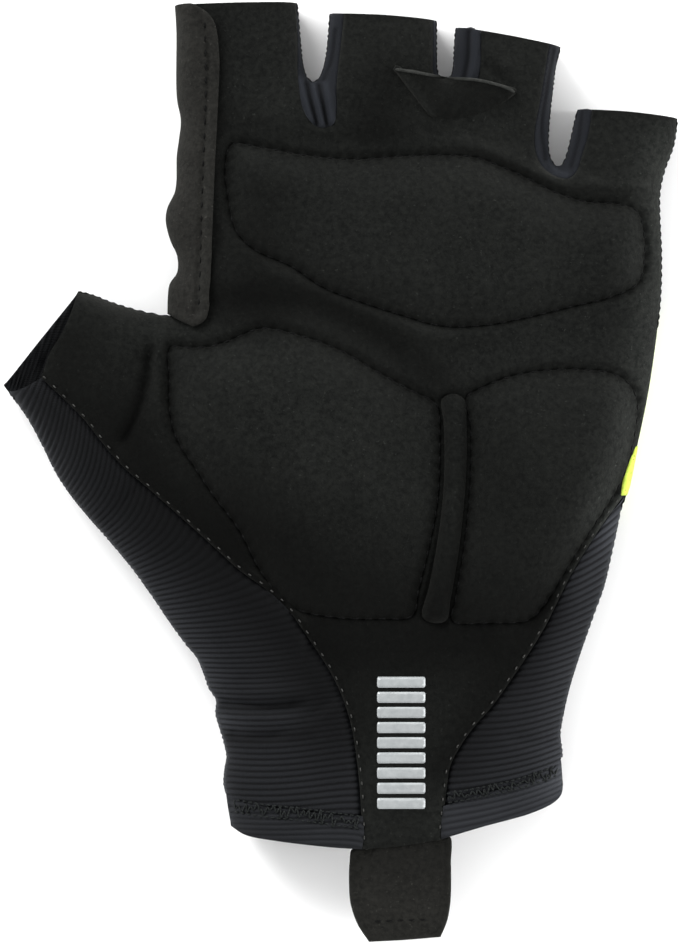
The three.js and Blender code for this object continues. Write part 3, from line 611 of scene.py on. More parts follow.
def painted_shading_at(plan):
    """The light and shade painted into the cloth's colour at points in plan."""
    near, hole = stitch_holes(plan)
    painted_share = shaded(near, CHANNEL_SHADE)
    painted_share -= HOLE_SHADE["dark"] * hole * bell(near, HOLE_SHADE["width"])
    for hollow, web in zip(PAINTED_SHADING_LINES, painted_shading_nets):
        painted_share *= shaded(measure(plan, web)[0], hollow)
    return painted_share * shaded(measure(plan, tip_net)[0], TIP_SHADE)


def graded_points(outline, spacing, web, fine, reach):
    """Inner points that crowd together beside the given lines."""
    coarse = lattice(outline, spacing)
    close = lattice(outline, fine)
    return np.vstack([coarse[measure(coarse, web)[0] > reach], close[measure(close, web)[0] <= reach]])


def edge_rows(outline, lines, offsets, spacing):
    """Rows of points just inside the given side lines, where the cloth turns down."""
    both_sides = [side * offset for offset in offsets for side in (-1, 1)]
    rows = np.vstack([beside(line, both_sides, spacing) for line in lines])
    rows = rows[inside(rows, outline)]
    off_edge = measure(rows, net([outline], True))[0]
    return rows[(side_distance(rows) > 0.8 * min(offsets)) & (off_edge > CLOSEST)]


suede_points = graded_points(suede_outline, PALM_SPACING, channel_net, FINE_SPACING, FINE_REACH)
suede_points = suede_points[side_distance(suede_points) > TURN_REACH]
suede_edges = edge_rows(suede_outline, side_lines.values(), TURN_ROWS, 0.7)
plan, faces = triangulate(suede_outline, np.vstack([suede_points, suede_edges]))
points = np.column_stack([plan, palm_face(plan)])
# Painted shade in the channels, stitch holes and hollows, and painted light on open places, for both
# faces.
painted_shading = np.tile(painted_shading_at(plan), 2)
suede_material = suede("palm_suede", SUEDE_COLOUR, SUEDE_LIGHT)
points, faces = thicken(points, faces, SUEDE_WALL)
palm = add_mesh("suede_palm", points, faces, suede_material, shade=painted_shading)
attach(palm, "root")
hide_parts("palm_panel")

# Three quilted pads and the narrow rib between the two lower ones: soft foam under the same suede,
# sewn down all round, so each is a low crowned cushion that dives into its stitched channel.
PADS = {
    "knuckle_pad": {"rise": 3.4, "edge": 8.5, "fill": 0.6},
    "thumb_pad": {"rise": 3.6, "edge": 11.0, "fill": 0.6},
    "heel_pad": {"rise": 3.4, "edge": 9.0, "fill": 0.6},
    "palm_rib": {"rise": 1.9, "edge": 2.0, "fill": 0.5},
}
PAD_CREASE = {"line": [(226, 340), (229, 365), (228, 392), (221, 422)], "lift": -0.3, "width": 0.6}
PUCKER = {"swell": 0.14, "dive": 0.34, "at": 0.8, "width": 0.9}
PAD_WAVES = {"lift": 0.16, "size": 12, "seed": 11}
PAD_ROWS = (0.3, 0.7, 1.2, 1.8)
PAD_SPACING = 0.85
PAD_CLEAR = 0.22
PAD_REACH = 2.2
PAD_FOAM = 0.05
PAD_LEAST = 0.12
pad_crease_net = net([curve(PAD_CREASE["line"], 0.5)])


def pad_crown(name, plan):
    """How far a pad stands up over the palm, with puckers where the stitches pull it in."""
    share = np.clip(measure(plan, pad_nets[name])[0] / PADS[name]["edge"], 0, 1)
    crown = PADS[name]["rise"] * (1 - (1 - share) ** 2)
    near, hole = stitch_holes(plan)
    pucker = (PUCKER["swell"] - PUCKER["dive"] * hole) * bell(near - PUCKER["at"], PUCKER["width"])
    uneven = PAD_WAVES["lift"] * soft_noise(plan, PAD_WAVES["size"], PAD_WAVES["seed"]) * share
    crease = PAD_CREASE["lift"] * bell(measure(plan, pad_crease_net)[0], PAD_CREASE["width"])
    return crown + pucker + uneven + crease


def thin_out(points, gap):
    """Drops points closer together than the gap."""
    _, index = np.unique(np.round(points / gap).astype(int), axis=0, return_index=True)
    return points[np.sort(index)]


def pad_seat(plan):
    """Height of the bottom of the sewn channels, which the foam lies on."""
    return upper_face(plan) - CHANNEL_DEPTH


for name, line in pad_lines.items():
    outline = resample(line, 0.5, closed=True)
    rows = beside(np.vstack([line, line[:1]]), [side * row for row in PAD_ROWS for side in (-1, 1)], 0.55)
    rows = rows[inside(rows, outline)]
    rows = rows[measure(rows, pad_nets[name])[0] > PAD_CLEAR]
    inner = lattice(outline, PAD_SPACING)
    inner = inner[measure(inner, pad_nets[name])[0] > PAD_REACH]
    plan, faces = triangulate(outline, np.vstack([inner, thin_out(rows, 0.35)]))
    seat = pad_seat(plan)
    crown = np.maximum(seat + PAD_LEAST, seat + PAD_FOAM + pad_crown(name, plan))
    points, faces = closed_shell(np.column_stack([plan, crown]), np.column_stack([plan, seat]), faces)
    # The pads take the same painted shade and painted light as the palm.
    painted_shading = np.tile(painted_shading_at(plan), 2)
    cushion = add_mesh(f"{name}_cushion", points, faces, suede_material, shade=painted_shading)
    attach(cushion, "root")
    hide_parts(name)

# Stitching of the pads: runs of lock stitch in thick dark thread, each stitch a short bead that dives
# into the cloth at both ends. The thread is nearly black: its own dark colour, made darker as painted
# shade of the stitch holes.
THREAD = 0.17
THREAD_DIVE = 0.25
STITCH_ARCH = 0.22
THREAD_COLOUR = (0.0012, 0.0013, 0.0013)


def thread_material(name, colour, roughness):
    """Twisted thread with a faint shine."""
    rows = [
        ("place", "ShaderNodeTexCoord", {}),
        ("twist", "ShaderNodeTexWave", {"Scale": 900.0, "Distortion": 1.5,
                                        "bands_direction": "DIAGONAL"}),
        ("shade", "ShaderNodeMix", {"data_type": "RGBA", 6: scaled(colour, 0.6), 7: scaled(colour, 1.3)}),
        ("bump", "ShaderNodeBump", {"Strength": 0.4, "Distance": 0.0001}),
    ]
    links = [
        ("place", "Object", "twist", "Vector"), ("twist", "Fac", "shade", 0),
        ("shade", 2, "surface", "Base Color"), ("twist", "Fac", "bump", "Height"),
        ("bump", "Normal", "surface", "Normal"),
    ]
    return finish(name, {"Roughness": roughness, "Specular IOR Level": 0.08}, rows, links)


def tubes(paths, radius, sides=6):
    """Joined tubes along paths, tapered shut at both ends."""
    points, faces = [], []
    for path in paths:
        heading = np.gradient(path, axis=0)
        heading /= np.maximum(1e-9, np.linalg.norm(heading, axis=1))[:, None]
        across = np.cross(heading, (0, 0, 1.0))
        across /= np.maximum(1e-9, np.linalg.norm(across, axis=1))[:, None]
        up = np.cross(across, heading)
        taper = np.ones(len(path))
        taper[0] = taper[-1] = 0.35
        first = len(points)
        for centre, side, rise, share in zip(path, across, up, taper):
            for k in range(sides):
                turn = 2 * math.pi * k / sides
                points.append(centre + radius * share * (math.cos(turn) * side + math.sin(turn) * rise))
        for ring in range(len(path) - 1):
            for k in range(sides):
                low, high = first + ring * sides, first + (ring + 1) * sides
                nxt = (k + 1) % sides
                faces.append((low + k, low + nxt, high + nxt, high + k))
        last = first + (len(path) - 1) * sides
        faces.append(tuple(first + k for k in reversed(range(sides))))
        faces.append(tuple(last + k for k in range(sides)))
    return np.array(points), faces


def stitch_paths(line, face, pitch, length, lift, closed=False):
    """Short stitches along a line over a face."""
    even = resample(line, 0.3, closed)
    if closed:
        even = np.vstack([even, even[:1]])
    run = np.r_[0, np.cumsum(np.hypot(*np.diff(even, axis=0).T))]
    count = int(run[-1] // pitch)
    starts = np.arange(count) * run[-1] / count
    share = np.linspace(0, 1, 6)
    marks = starts[:, None] + share * length
    flat = np.stack([np.interp(marks, run, even[:, axis]) for axis in (0, 1)], axis=2)
    z = face(flat.reshape(-1, 2)).reshape(marks.shape)
    arch = np.sin(math.pi * share)
    z = z + lift * arch - THREAD_DIVE * (1 - arch)
    return list(np.concatenate([flat, z[..., None]], axis=2))


thread_dark = thread_material("dark_thread", THREAD_COLOUR, 0.6)
pad_stitches = []
for name in ("knuckle_pad", "thumb_pad", "heel_pad"):
    pad_stitches += stitch_paths(pad_lines[name], pad_seat, STITCH_PITCH, STITCH_LENGTH, STITCH_ARCH,
                                 closed=True)
quilting = add_mesh("pad_stitches", *tubes(pad_stitches, THREAD), thread_dark)
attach(quilting, "root")

# Finger strips: smooth stretch cloth between the half fingers, seen as narrow bluish edges beside the
# suede and as a small gathered wedge below each gap. Each is one strip folded from palm to back.
STRIP_WALL = 0.9
STRIP_SUNK = 0.12
STRIP_SPACING = 0.45
STRIP_TURN = 0.5
STRIP_ROWS = (0.15, 0.4)
STRIP_LOOPS = 2.2
# Base of the strips' painted shade, and how much painted light and shade the gathers add.
STRIP_TONE, GATHER_PAINTED_SHADING = 0.85, 1.1
STRIP_COLOUR = (0.0064, 0.0072, 0.0090)
STRIP_GATHERS = [
    {"line": [(301, 80), (305, 100), (312, 122)], "lift": 0.5, "width": 0.6},
    {"line": [(307, 84), (311, 102), (317, 124)], "lift": -0.7, "width": 0.45},
    {"line": [(313, 84), (317, 102), (322, 125)], "lift": 0.6, "width": 0.5},
    {"line": [(319, 86), (323, 104), (327, 125)], "lift": -0.7, "width": 0.45},
    {"line": [(326, 84), (329, 104), (332, 123)], "lift": 0.5, "width": 0.6},
    {"line": [(336, 30), (332, 60), (324, 80)], "lift": -0.45, "width": 0.4},
    {"line": [(469, 32), (468, 60), (462, 88)], "lift": -0.5, "width": 0.45},
    {"line": [(475, 32), (474, 60), (468, 90)], "lift": 0.4, "width": 0.6},
    {"line": [(553, 50), (546, 90), (541, 130), (545, 160)], "lift": -0.5, "width": 0.4},
    {"line": [(550, 160), (556, 172), (566, 175)], "lift": 0.4, "width": 0.5},
    {"line": [(583, 112), (579, 140), (571, 168)], "lift": -0.45, "width": 0.4},
]


def knit(name, dark, light, gauge, furrow_shade):
    """Stretch knit: rows of small loops, with painted shade in the furrows where it is ribbed, and its
    colour multiplied by the painted light and shade in the shade attribute.
    """
    surface = {"Roughness": 0.72, "Specular IOR Level": 0.06, "Sheen Weight": 0.045,
               "Sheen Roughness": 0.5, "Sheen Tint": (0.7, 0.75, 0.85, 1)}
    rows = [
        ("place", "ShaderNodeTexCoord", {}),
        ("split", "ShaderNodeSeparateXYZ", {}),
        ("row", "ShaderNodeMath", {"operation": "MULTIPLY", 1: 2 * math.pi}),
        ("rib", "ShaderNodeMath", {"operation": "COSINE"}),
        ("furrow", "ShaderNodeMapRange", {"From Min": -1.0, "From Max": 0.4, "To Min": 1 - furrow_shade,
                                          "To Max": 1.0}),
        ("loops", "ShaderNodeTexWave", {"Scale": gauge, "Distortion": 2.0, "Detail": 1.0}),
        ("noise", "ShaderNodeTexNoise", {"Scale": 900.0, "Detail": 3.0}),
        ("cloud", "ShaderNodeTexNoise", {"Scale": 45.0, "Detail": 3.0}),
        ("shade", "ShaderNodeMix", {"data_type": "RGBA", 6: scaled(dark), 7: scaled(light)}),
        ("depth", "ShaderNodeMix", {"data_type": "RGBA", "blend_type": "MULTIPLY", 0: 1.0}),
        ("painted_shade", "ShaderNodeAttribute", {"attribute_name": "shade"}),
        ("dim", "ShaderNodeMix", {"data_type": "RGBA", "blend_type": "MULTIPLY", 0: 1.0}),
        ("bump", "ShaderNodeBump", {"Strength": 0.35, "Distance": 0.00012}),
        ("fine", "ShaderNodeBump", {"Strength": 0.3, "Distance": 0.00012}),
    ]
    links = [
        ("place", "UV", "split", "Vector"), ("split", "Y", "row", 0), ("row", 0, "rib", 0),
        ("rib", 0, "furrow", "Value"), ("place", "UV", "loops", "Vector"),
        ("place", "Object", "noise", "Vector"), ("place", "Object", "cloud", "Vector"),
        ("cloud", "Fac", "shade", 0), ("shade", 2, "depth", 6), ("furrow", "Result", "depth", 7),
        ("depth", 2, "dim", 6), ("painted_shade", "Fac", "dim", 7), ("dim", 2, "surface", "Base Color"),
        ("loops", "Fac", "bump", "Height"),
        ("noise", "Fac", "fine", "Height"), ("fine", "Normal", "bump", "Normal"),
        ("bump", "Normal", "surface", "Normal"),
    ]
    return finish(name, surface, rows, links)


def set_uv(piece, values):
    """Gives each vertex its place along and across the cloth, as a UV map."""
    mesh = piece.data
    layer = mesh.uv_layers.new(name="cloth")
    corners = np.empty(len(mesh.loops), np.int32)
    mesh.loops.foreach_get("vertex_index", corners)
    layer.data.foreach_set("uv", np.asarray(values, np.float32)[corners].ravel())


def joined(parts):
    """Several meshes as one: all their points and their faces."""
    starts = np.cumsum([0] + [len(points) for points, faces in parts])
    faces = [faces + start for (points, faces), start in zip(parts, starts)]
    return np.vstack([points for points, _ in parts]), np.vstack(faces)


gather_nets = [net([curve(gather["line"], 0.5)]) for gather in STRIP_GATHERS]


def strip_face(plan):
    """The finger strips' palm side, gathered below the gaps."""
    z = upper_face(plan) - STRIP_SUNK
    for gather, web in zip(STRIP_GATHERS, gather_nets):
        z += gather["lift"] * bell(measure(plan, web)[0], gather["width"])
    return z


def strip_shade(plan):
    """Painted light on the gathers' ridges and painted shade in their furrows, on a base of STRIP_TONE.
    """
    tone = np.full(len(plan), STRIP_TONE)
    for gather, web in zip(STRIP_GATHERS, gather_nets):
        tone += GATHER_PAINTED_SHADING * gather["lift"] * bell(measure(plan, web)[0], gather["width"])
    return np.clip(tone, 0.25, 1.6)


# Each strip's name, the gap it lines, and its two narrow ends at the finger tips.
STRIP_PIECES = [
    ("index_middle", "index_middle_gap", [(296, 2.5), (297, 2.5)], [(330, 13), (344, 14)]),
    ("middle_ring", "middle_ring_gap", [(433, 20), (436.5, 20)], [(456, 27), (481, 31)]),
    ("ring_little", "ring_little_gap", [(549, 44), (561, 46.5)], [(578, 109), (592, 110)]),
]
stretch_knit = knit("stretch_knit", STRIP_COLOUR, tuple(1.5 * c for c in STRIP_COLOUR), 3.0, 0.0)
for name, gap_name, left_tip, right_tip in STRIP_PIECES:
    gap_line = side_lines[gap_name]
    outline = chain([strip_lines[name], curve(right_tip[::-1], 0.6), gap_line[::-1],
                     curve(left_tip[::-1], 0.6)])
    inner = lattice(outline, STRIP_SPACING)
    inner = inner[side_distance(inner) > STRIP_TURN]
    inner = np.vstack([inner, edge_rows(outline, [gap_line], STRIP_ROWS, 0.5)])
    plan, faces = triangulate(outline, thin_out(inner, 0.2))
    upper = thicken(np.column_stack([plan, strip_face(plan)]), faces, STRIP_WALL)
    lower = thicken(np.column_stack([plan, lower_face(plan)]), faces[:, ::-1], STRIP_WALL)
    # Painted light and shade from the gathers, on all four faces of the strip.
    painted_shading = np.tile(strip_shade(plan), 4)
    strip = add_mesh(f"finger_strip_{name}", *joined([upper, lower]), stretch_knit, shade=painted_shading)
    set_uv(strip, np.tile(plan * STRIP_LOOPS, (4, 1)))
    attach(strip, "root")
    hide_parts(f"fourchette_{name}")

# Ribbed stretch cloth: the back of the glove, which also comes round to the palm side along the thumb
# and at the wrist. Its ribs run across the hand and turn up along the thumb, and they are real ridges.
RIB_PITCH = 1.15
RIB_HEIGHT = 0.26
RIB_WALL = 0.9
RIB_COLOUR = (0.0058, 0.0062, 0.0072)
RIB_LIGHT = (0.0105, 0.0112, 0.0128)
RIDGE_SHARP = 0.8
# Share of the painted shading kept on the cloth's inner face: painted shade inside the glove.
INNER_PAINTED_SHADE = 0.4
SEAM_DIP = {"lift": 0.7, "width": 1.1}
FLAT_EDGE = 2.5
CALM_REACH = 0.7
SIDE_ZONE = 2.4
SIDE_REACH = 0.45
SIDE_CLEAR = 0.25
EDGE_CLEAR = 0.15

# Edges of the ribbed cloth: the lip at the thumb's mouth, the fold of the cuff on both hands and round
# the back, the cut for the yellow insert with its inner edge and its ends, and where the cut leaves the
# glove's side.
THUMB_LIP = [(3, 385), (10, 391), (24, 388), (42, 378)]
HEM_FOLD_RIGHT = [(561, 758), (553, 768), (531, 779), (481, 793), (443, 805)]
HEM_FOLD_LEFT = [(361, 815), (330, 813), (278, 807), (245, 802), (226, 794)]
HEM_FOLD_BACK = HEM_FOLD_RIGHT + [(400, 813)] + HEM_FOLD_LEFT
INSERT_CUT = [(629, 328), (621, 381), (609, 440), (603, 497)]
INSERT_INNER = [(626, 325), (618, 380), (606, 440), (600, 500)]
INSERT_ENDS = [[(657, 327), (629, 327)], [(627, 494), (603, 498)]]
INSERT_GAP = [(657, 329), (627, 492)]

# How steeply the ribs lean at spots on the pattern sheet, in degrees up to the right.
THUMB_LEANS = [
    (37, 413, 72), (50, 430, 70), (62, 440, 71), (70, 455, 69), (85, 470, 67), (100, 480, 67),
    (90, 500, 56), (113, 500, 63), (113, 521, 42), (125, 490, 71), (136, 500, 68), (140, 520, 58),
    (158, 513, 68), (136, 538, 33), (150, 540, 42), (170, 538, 55), (153, 563, 20), (170, 560, 26),
    (190, 560, 30), (170, 588, 7), (203, 596, 10), (220, 580, 20), (200, 620, 2), (236, 621, 7),
    (270, 620, 14), (250, 640, 5), (290, 650, 8), (210, 660, 0), (240, 690, 0), (300, 690, 8),
    (330, 700, 8), (225, 740, 0), (280, 760, 3), (330, 760, 6), (345, 790, 5), (240, 790, -2),
    (260, 820, -2), (340, 835, -1), (232, 815, -3),
]
OUTER_LEANS = [
    (610, 530, 36), (590, 570, 33), (570, 600, 28), (575, 630, 21), (555, 640, 16), (560, 660, 17),
    (540, 660, 11), (530, 690, 7), (500, 720, 5), (530, 710, 8), (545, 740, 17), (500, 745, 5),
    (470, 760, 7), (470, 785, 7), (500, 780, 12), (530, 770, 19), (460, 815, 11), (485, 808, 12),
    (520, 800, 18), (540, 795, 21), (455, 830, 10),
]
BACK_LEANS = [
    (37, 413, 70), (90, 490, 58), (136, 538, 33), (170, 588, 8), (186, 640, 1), (240, 700, 0),
    (240, 800, -4), (300, 450, 6), (300, 600, 2), (300, 200, 0), (200, 60, 0), (200, 200, 4),
    (420, 60, 0), (420, 300, 0), (420, 500, 0), (420, 700, 2), (420, 840, 0), (560, 620, 12),
    (530, 760, 12), (620, 300, 4), (620, 480, 8), (640, 150, 0), (520, 300, 0), (300, 840, -4),
    (120, 380, 66), (160, 460, 40),
]

# The rib count is a polynomial over the sheet. Its fit keeps to the leans first, then to the pitch, and
# keeps its terms small.
FIELD_SCALE = 50
LEAN_WEIGHT = 3
TERM_WEIGHT = 0.002


def powers(spots, degree):
    """Products of the two coordinates up to a degree, and their slopes."""
    x, y = (spots / FIELD_SCALE).T
    terms = [(i, j) for i in range(degree + 1) for j in range(degree + 1 - i) if i + j > 0]
    value = np.stack([x ** i * y ** j for i, j in terms], axis=1)
    slope_x = np.stack([i * x ** max(0, i - 1) * y ** j for i, j in terms], axis=1) / FIELD_SCALE
    slope_y = np.stack([j * x ** i * y ** max(0, j - 1) for i, j in terms], axis=1) / FIELD_SCALE
    return value, slope_x, slope_y


def rib_field(leans, degree):
    """Fits a smooth count of ribs whose lines lean as the spots say, one pitch apart."""
    rows = np.array(leans, float)
    spots = on_sheet(rows[:, :2])
    lean = np.radians(rows[:, 2])
    _, slope_x, slope_y = powers(spots, degree)
    terms = slope_x.shape[1]
    along = np.cos(lean)[:, None] * slope_x + np.sin(lean)[:, None] * slope_y
    across = np.sin(lean)[:, None] * slope_x - np.cos(lean)[:, None] * slope_y
    system = np.vstack([LEAN_WEIGHT * along, across, TERM_WEIGHT * np.eye(terms)])
    wanted = np.r_[np.zeros(len(rows)), np.full(len(rows), 1 / RIB_PITCH), np.zeros(terms)]
    weights = np.linalg.lstsq(system, wanted, rcond=None)[0]
    return lambda plan: powers(plan, degree)[0] @ weights


def rib_lattice(outline, ribs, columns, per_rib, reach):
    """Points in rows along the ribs, several rows to a rib, inside an outline."""
    seeds = lattice(outline, min(0.3, 0.5 * reach))
    row = np.round(ribs(seeds) * per_rib)
    stagger = 0.5 * (row % 2)
    column = np.round(columns(seeds) * RIB_PITCH / reach - stagger)
    _, index = np.unique(np.stack([row, column], axis=1), axis=0, return_index=True)
    spot = seeds[index]
    wanted = np.stack([row / per_rib, (column + stagger) * reach / RIB_PITCH], axis=1)[index]
    tiny = 0.01

    def counts(plan):
        return np.stack([ribs(plan), columns(plan)], axis=1)

    for _ in range(3):
        value = counts(spot)
        by_x = (counts(spot + (tiny, 0)) - value) / tiny
        by_y = (counts(spot + (0, tiny)) - value) / tiny
        miss = wanted - value
        area = by_x[:, 0] * by_y[:, 1] - by_y[:, 0] * by_x[:, 1]
        move = np.stack([miss[:, 0] * by_y[:, 1] - miss[:, 1] * by_y[:, 0],
                         by_x[:, 0] * miss[:, 1] - by_x[:, 1] * miss[:, 0]], axis=1) / area[:, None]
        spot = spot + np.clip(move, -1.5, 1.5)
    spot = spot[inside(spot, outline)]
    return spot[measure(spot, net([outline], True))[0] > EDGE_CLEAR]


def ribbed_sheet(outline, leans, degree, face, facing, reach, calm):
    """A sheet of ribbed cloth: its ribbed face, its triangles and its place along and across.

    The ribs lie flat beside the calm lines, and the rows crowd together where the cloth turns down."""
    per_rib = 5
    ribs = rib_field(leans, degree)
    columns = rib_field([(x, y, lean + 90) for x, y, lean in leans], degree)
    middle = rib_lattice(outline, ribs, columns, per_rib, reach)
    sides = rib_lattice(outline, ribs, columns, per_rib, SIDE_REACH)
    off_side = side_distance(sides)
    sides = sides[(off_side <= SIDE_ZONE) & (off_side > SIDE_CLEAR)]
    middle = middle[side_distance(middle) > SIDE_ZONE]

    def warp(plan):
        return np.stack([columns(plan) * RIB_PITCH / 3, ribs(plan) * RIB_PITCH], axis=1)

    plan, faces = triangulate(outline, np.vstack([middle, sides]), warp)
    a, b, c = (plan[faces[:, i]] for i in range(3))
    turn = np.cross(b - a, c - a)
    faces[turn < 0] = faces[turn < 0][:, ::-1]
    faces = faces[:, ::facing]
    points = np.column_stack([plan, face(plan)])
    normal = corner_normals(points, faces)
    ridge = (0.5 + 0.5 * np.cos(2 * math.pi * ribs(plan))) ** RIDGE_SHARP
    ridge *= np.clip(measure(plan, calm)[0] / CALM_REACH, 0, 1)
    points = points + normal * (RIB_HEIGHT * ridge)[:, None]
    return points, faces, np.stack([columns(plan), ribs(plan)], axis=1)


def side_cloth(plan):
    """The ribbed cloth's palm side, dipping under the suede's rolled edge."""
    return upper_face(plan) - SEAM_DIP["lift"] * bell(measure(plan, seam_net)[0], SEAM_DIP["width"])


rib_knit = knit("rib_knit", RIB_COLOUR, RIB_LIGHT, 1.6, 0.75)
outer_edge = side_lines["outer_edge"]
hem_fold_right = curve(HEM_FOLD_RIGHT, 0.4)
hem_fold_left = curve(HEM_FOLD_LEFT, 0.4)
thumb_lip = curve(THUMB_LIP, 0.4)
insert_cut = curve(INSERT_CUT, 0.4)
insert_inner = curve(INSERT_INNER, 0.4)
wrist_top = between(side_lines["wrist_edge"], HEM_FOLD_LEFT[-1], THUMB_LIP[0])
left_outline = chain([
    between(thumb_seam, THUMB_SEAM[0], HEM_FOLD_LEFT[0]), hem_fold_left, wrist_top, thumb_lip,
])
right_outline = chain([
    between(outer_edge, OUTER_SEAM[0], HEM_FOLD_RIGHT[0]), hem_fold_right,
    between(outer_seam, OUTER_SEAM[0], HEM_FOLD_RIGHT[-1])[::-1],
])
back_outline = chain([
    tip_lines["index_tip"], side_lines["index_middle_gap"], tip_lines["middle_tip"],
    side_lines["middle_ring_gap"], tip_lines["ring_tip"], side_lines["ring_little_gap"],
    tip_lines["little_tip"], between(outer_edge, TIP_RUNS["little_tip"][-1], INSERT_GAP[0]), insert_cut,
    between(outer_edge, INSERT_GAP[1], HEM_FOLD_RIGHT[0]), curve(HEM_FOLD_BACK, 0.5), wrist_top,
    tip_lines["thumb_mouth"], side_lines["thumb_top"], side_lines["index_edge"],
])
open_edges = net([thumb_lip, insert_cut, insert_inner] + [curve(end, 0.4) for end in INSERT_ENDS]
                 + [line for name, line in tip_lines.items() if name != "hem_edge"])
for name, outline, leans, degree, face, facing, reach in (
        ("ribbed_thumb_side", left_outline, THUMB_LEANS, 5, side_cloth, 1, 1.6),
        ("ribbed_outer_side", right_outline, OUTER_LEANS, 3, side_cloth, 1, 1.6),
        ("ribbed_back", back_outline, BACK_LEANS, 4, lower_face, -1, 2.6)):
    points, faces, cloth_place = ribbed_sheet(outline, leans, degree, face, facing, reach, open_edges)
    # Painted shade and painted light on the palm-side pieces; the back gets none.
    painted_shading = painted_shading_at(points[:, :2]) if facing > 0 else np.ones(len(points))
    normal = corner_normals(points, faces)
    normal[measure(points[:, :2], open_edges)[0] < FLAT_EDGE] = (0, 0, facing)
    points, faces = thicken(points, faces, RIB_WALL, normal)
    # The inner face gets only a share of the outer face's value: painted shade inside the glove.
    cloth = add_mesh(name, points, faces, rib_knit, shade=np.r_[painted_shading, INNER_PAINTED_SHADE * painted_shading])
    set_uv(cloth, np.tile(cloth_place, (2, 1)))
    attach(cloth, "root")
    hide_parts("back_panel")

# Cuff hem: the ribbed cloth folded in and sewn down at the wrist, so it is a little thicker there. It
# runs round the back and stops on the palm side at the suede strip.
HEM_WALL = 1.7
HEM_SWELL = 0.25
HEM_REACH = 1.2

# The hem's end beside the suede strip, its lower edge and the glove's side, on either hand.
HEM_LEFT = [
    [(363, 815), (364, 832), (362, 848)],
    [(362, 848), (330, 846), (278, 840), (245, 834), (231, 826)],
    [(231, 826), (228, 808), (226, 794)],
]
HEM_RIGHT = [
    [(443, 805), (441, 822), (441, 838)],
    [(441, 838), (481, 826), (531, 812), (553, 802), (561, 794), (563, 785)],
    [(563, 785), (562, 770), (561, 758)],
]


def hem_face(plan):
    """The hem's palm side, a little thicker than the cloth above it."""
    return upper_face(plan) + HEM_SWELL


hem_left = chain([curve(steps, 0.4) for steps in HEM_LEFT] + [hem_fold_left[::-1]])
hem_right = chain([curve(steps, 0.4) for steps in HEM_RIGHT] + [hem_fold_right])
hem_back = chain([curve(HEM_RIGHT[-1][::-1], 0.5), tip_lines["hem_edge"], curve(HEM_LEFT[-1], 0.5),
                  curve(HEM_FOLD_BACK, 0.5)[::-1]])
hem_parts, hem_places, hem_shades = [], [], []
for outline, leans, degree, face, facing in (
        (hem_left, THUMB_LEANS, 5, hem_face, 1),
        (hem_right, OUTER_LEANS, 3, hem_face, 1),
        (hem_back, BACK_LEANS, 4, lower_face, -1)):
    calm = net([outline], True)
    points, faces, cloth_place = ribbed_sheet(outline, leans, degree, face, facing, HEM_REACH, calm)
    points, faces = thicken(points, faces, HEM_WALL, np.tile((0, 0, facing), (len(points), 1)))
    hem_parts.append((points, faces))
    hem_places.append(np.tile(cloth_place, (2, 1)))
    # Painted shade and painted light on the hem's palm side, none on its back.
    hem_shades.append(painted_shading_at(points[:, :2]) if facing > 0 else np.ones(len(points)))
hem_knit = knit("hem_knit", RIB_COLOUR, tuple(1.3 * c for c in RIB_LIGHT), 1.6, 0.4)
hem = add_mesh("hem_fold", *joined(hem_parts), hem_knit, shade=np.concatenate(hem_shades))
set_uv(hem, np.vstack(hem_places))
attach(hem, "root")
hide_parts("cuff_hem")

# Yellow side insert: a narrow strip of bright stretch cloth let in along the outer edge of the hand.
# From the palm side only a sliver of it shows below the heel pad.
INSERT_EDGE = [(637, 446), (631, 457), (626, 470), (622, 483), (620.5, 495)]
INSERT_RUN = [(658, 325), (626, 495)]
INSERT_SHOWN = [(638, 446), (626, 495)]
INSERT_WALL = 0.9
INSERT_PROUD = 0.2
INSERT_TUCK = 0.3
INSERT_TURN = 0.35
INSERT_COLOUR = (0.46, 0.58, 0.08)
insert_knit = knit("insert_knit", INSERT_COLOUR, tuple(1.1 * c for c in INSERT_COLOUR), 2.4, 0.0)
insert_line = between(outer_edge, *INSERT_RUN)
insert_top = chain([between(insert_line, *INSERT_SHOWN), curve(INSERT_EDGE[::-1], 0.4)])
insert_low = chain([beside(insert_line, [-INSERT_TUCK], 0.4), curve(INSERT_INNER[::-1], 0.4)])
insert_net = net([insert_line])
insert_parts = []
for outline, face, facing in ((insert_top, palm_face, 1), (insert_low, lower_face, -1)):
    plan, sheet = triangulate(outline, lattice(outline, 0.5))
    sheet = sheet[:, ::facing]
    raised = np.column_stack([plan, face(plan)])
    normal = corner_normals(raised, sheet)
    normal[measure(plan, insert_net)[0] < INSERT_TURN, 2] = 0
    normal /= np.linalg.norm(normal, axis=1)[:, None]
    insert_parts.append(thicken(raised + INSERT_PROUD * normal, sheet, INSERT_WALL, normal))
points, faces = joined(insert_parts)
insert = add_mesh("yellow_insert", points, faces, insert_knit)
set_uv(insert, points[:, :2] * 2)
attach(insert, "root")
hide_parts("side_insert")

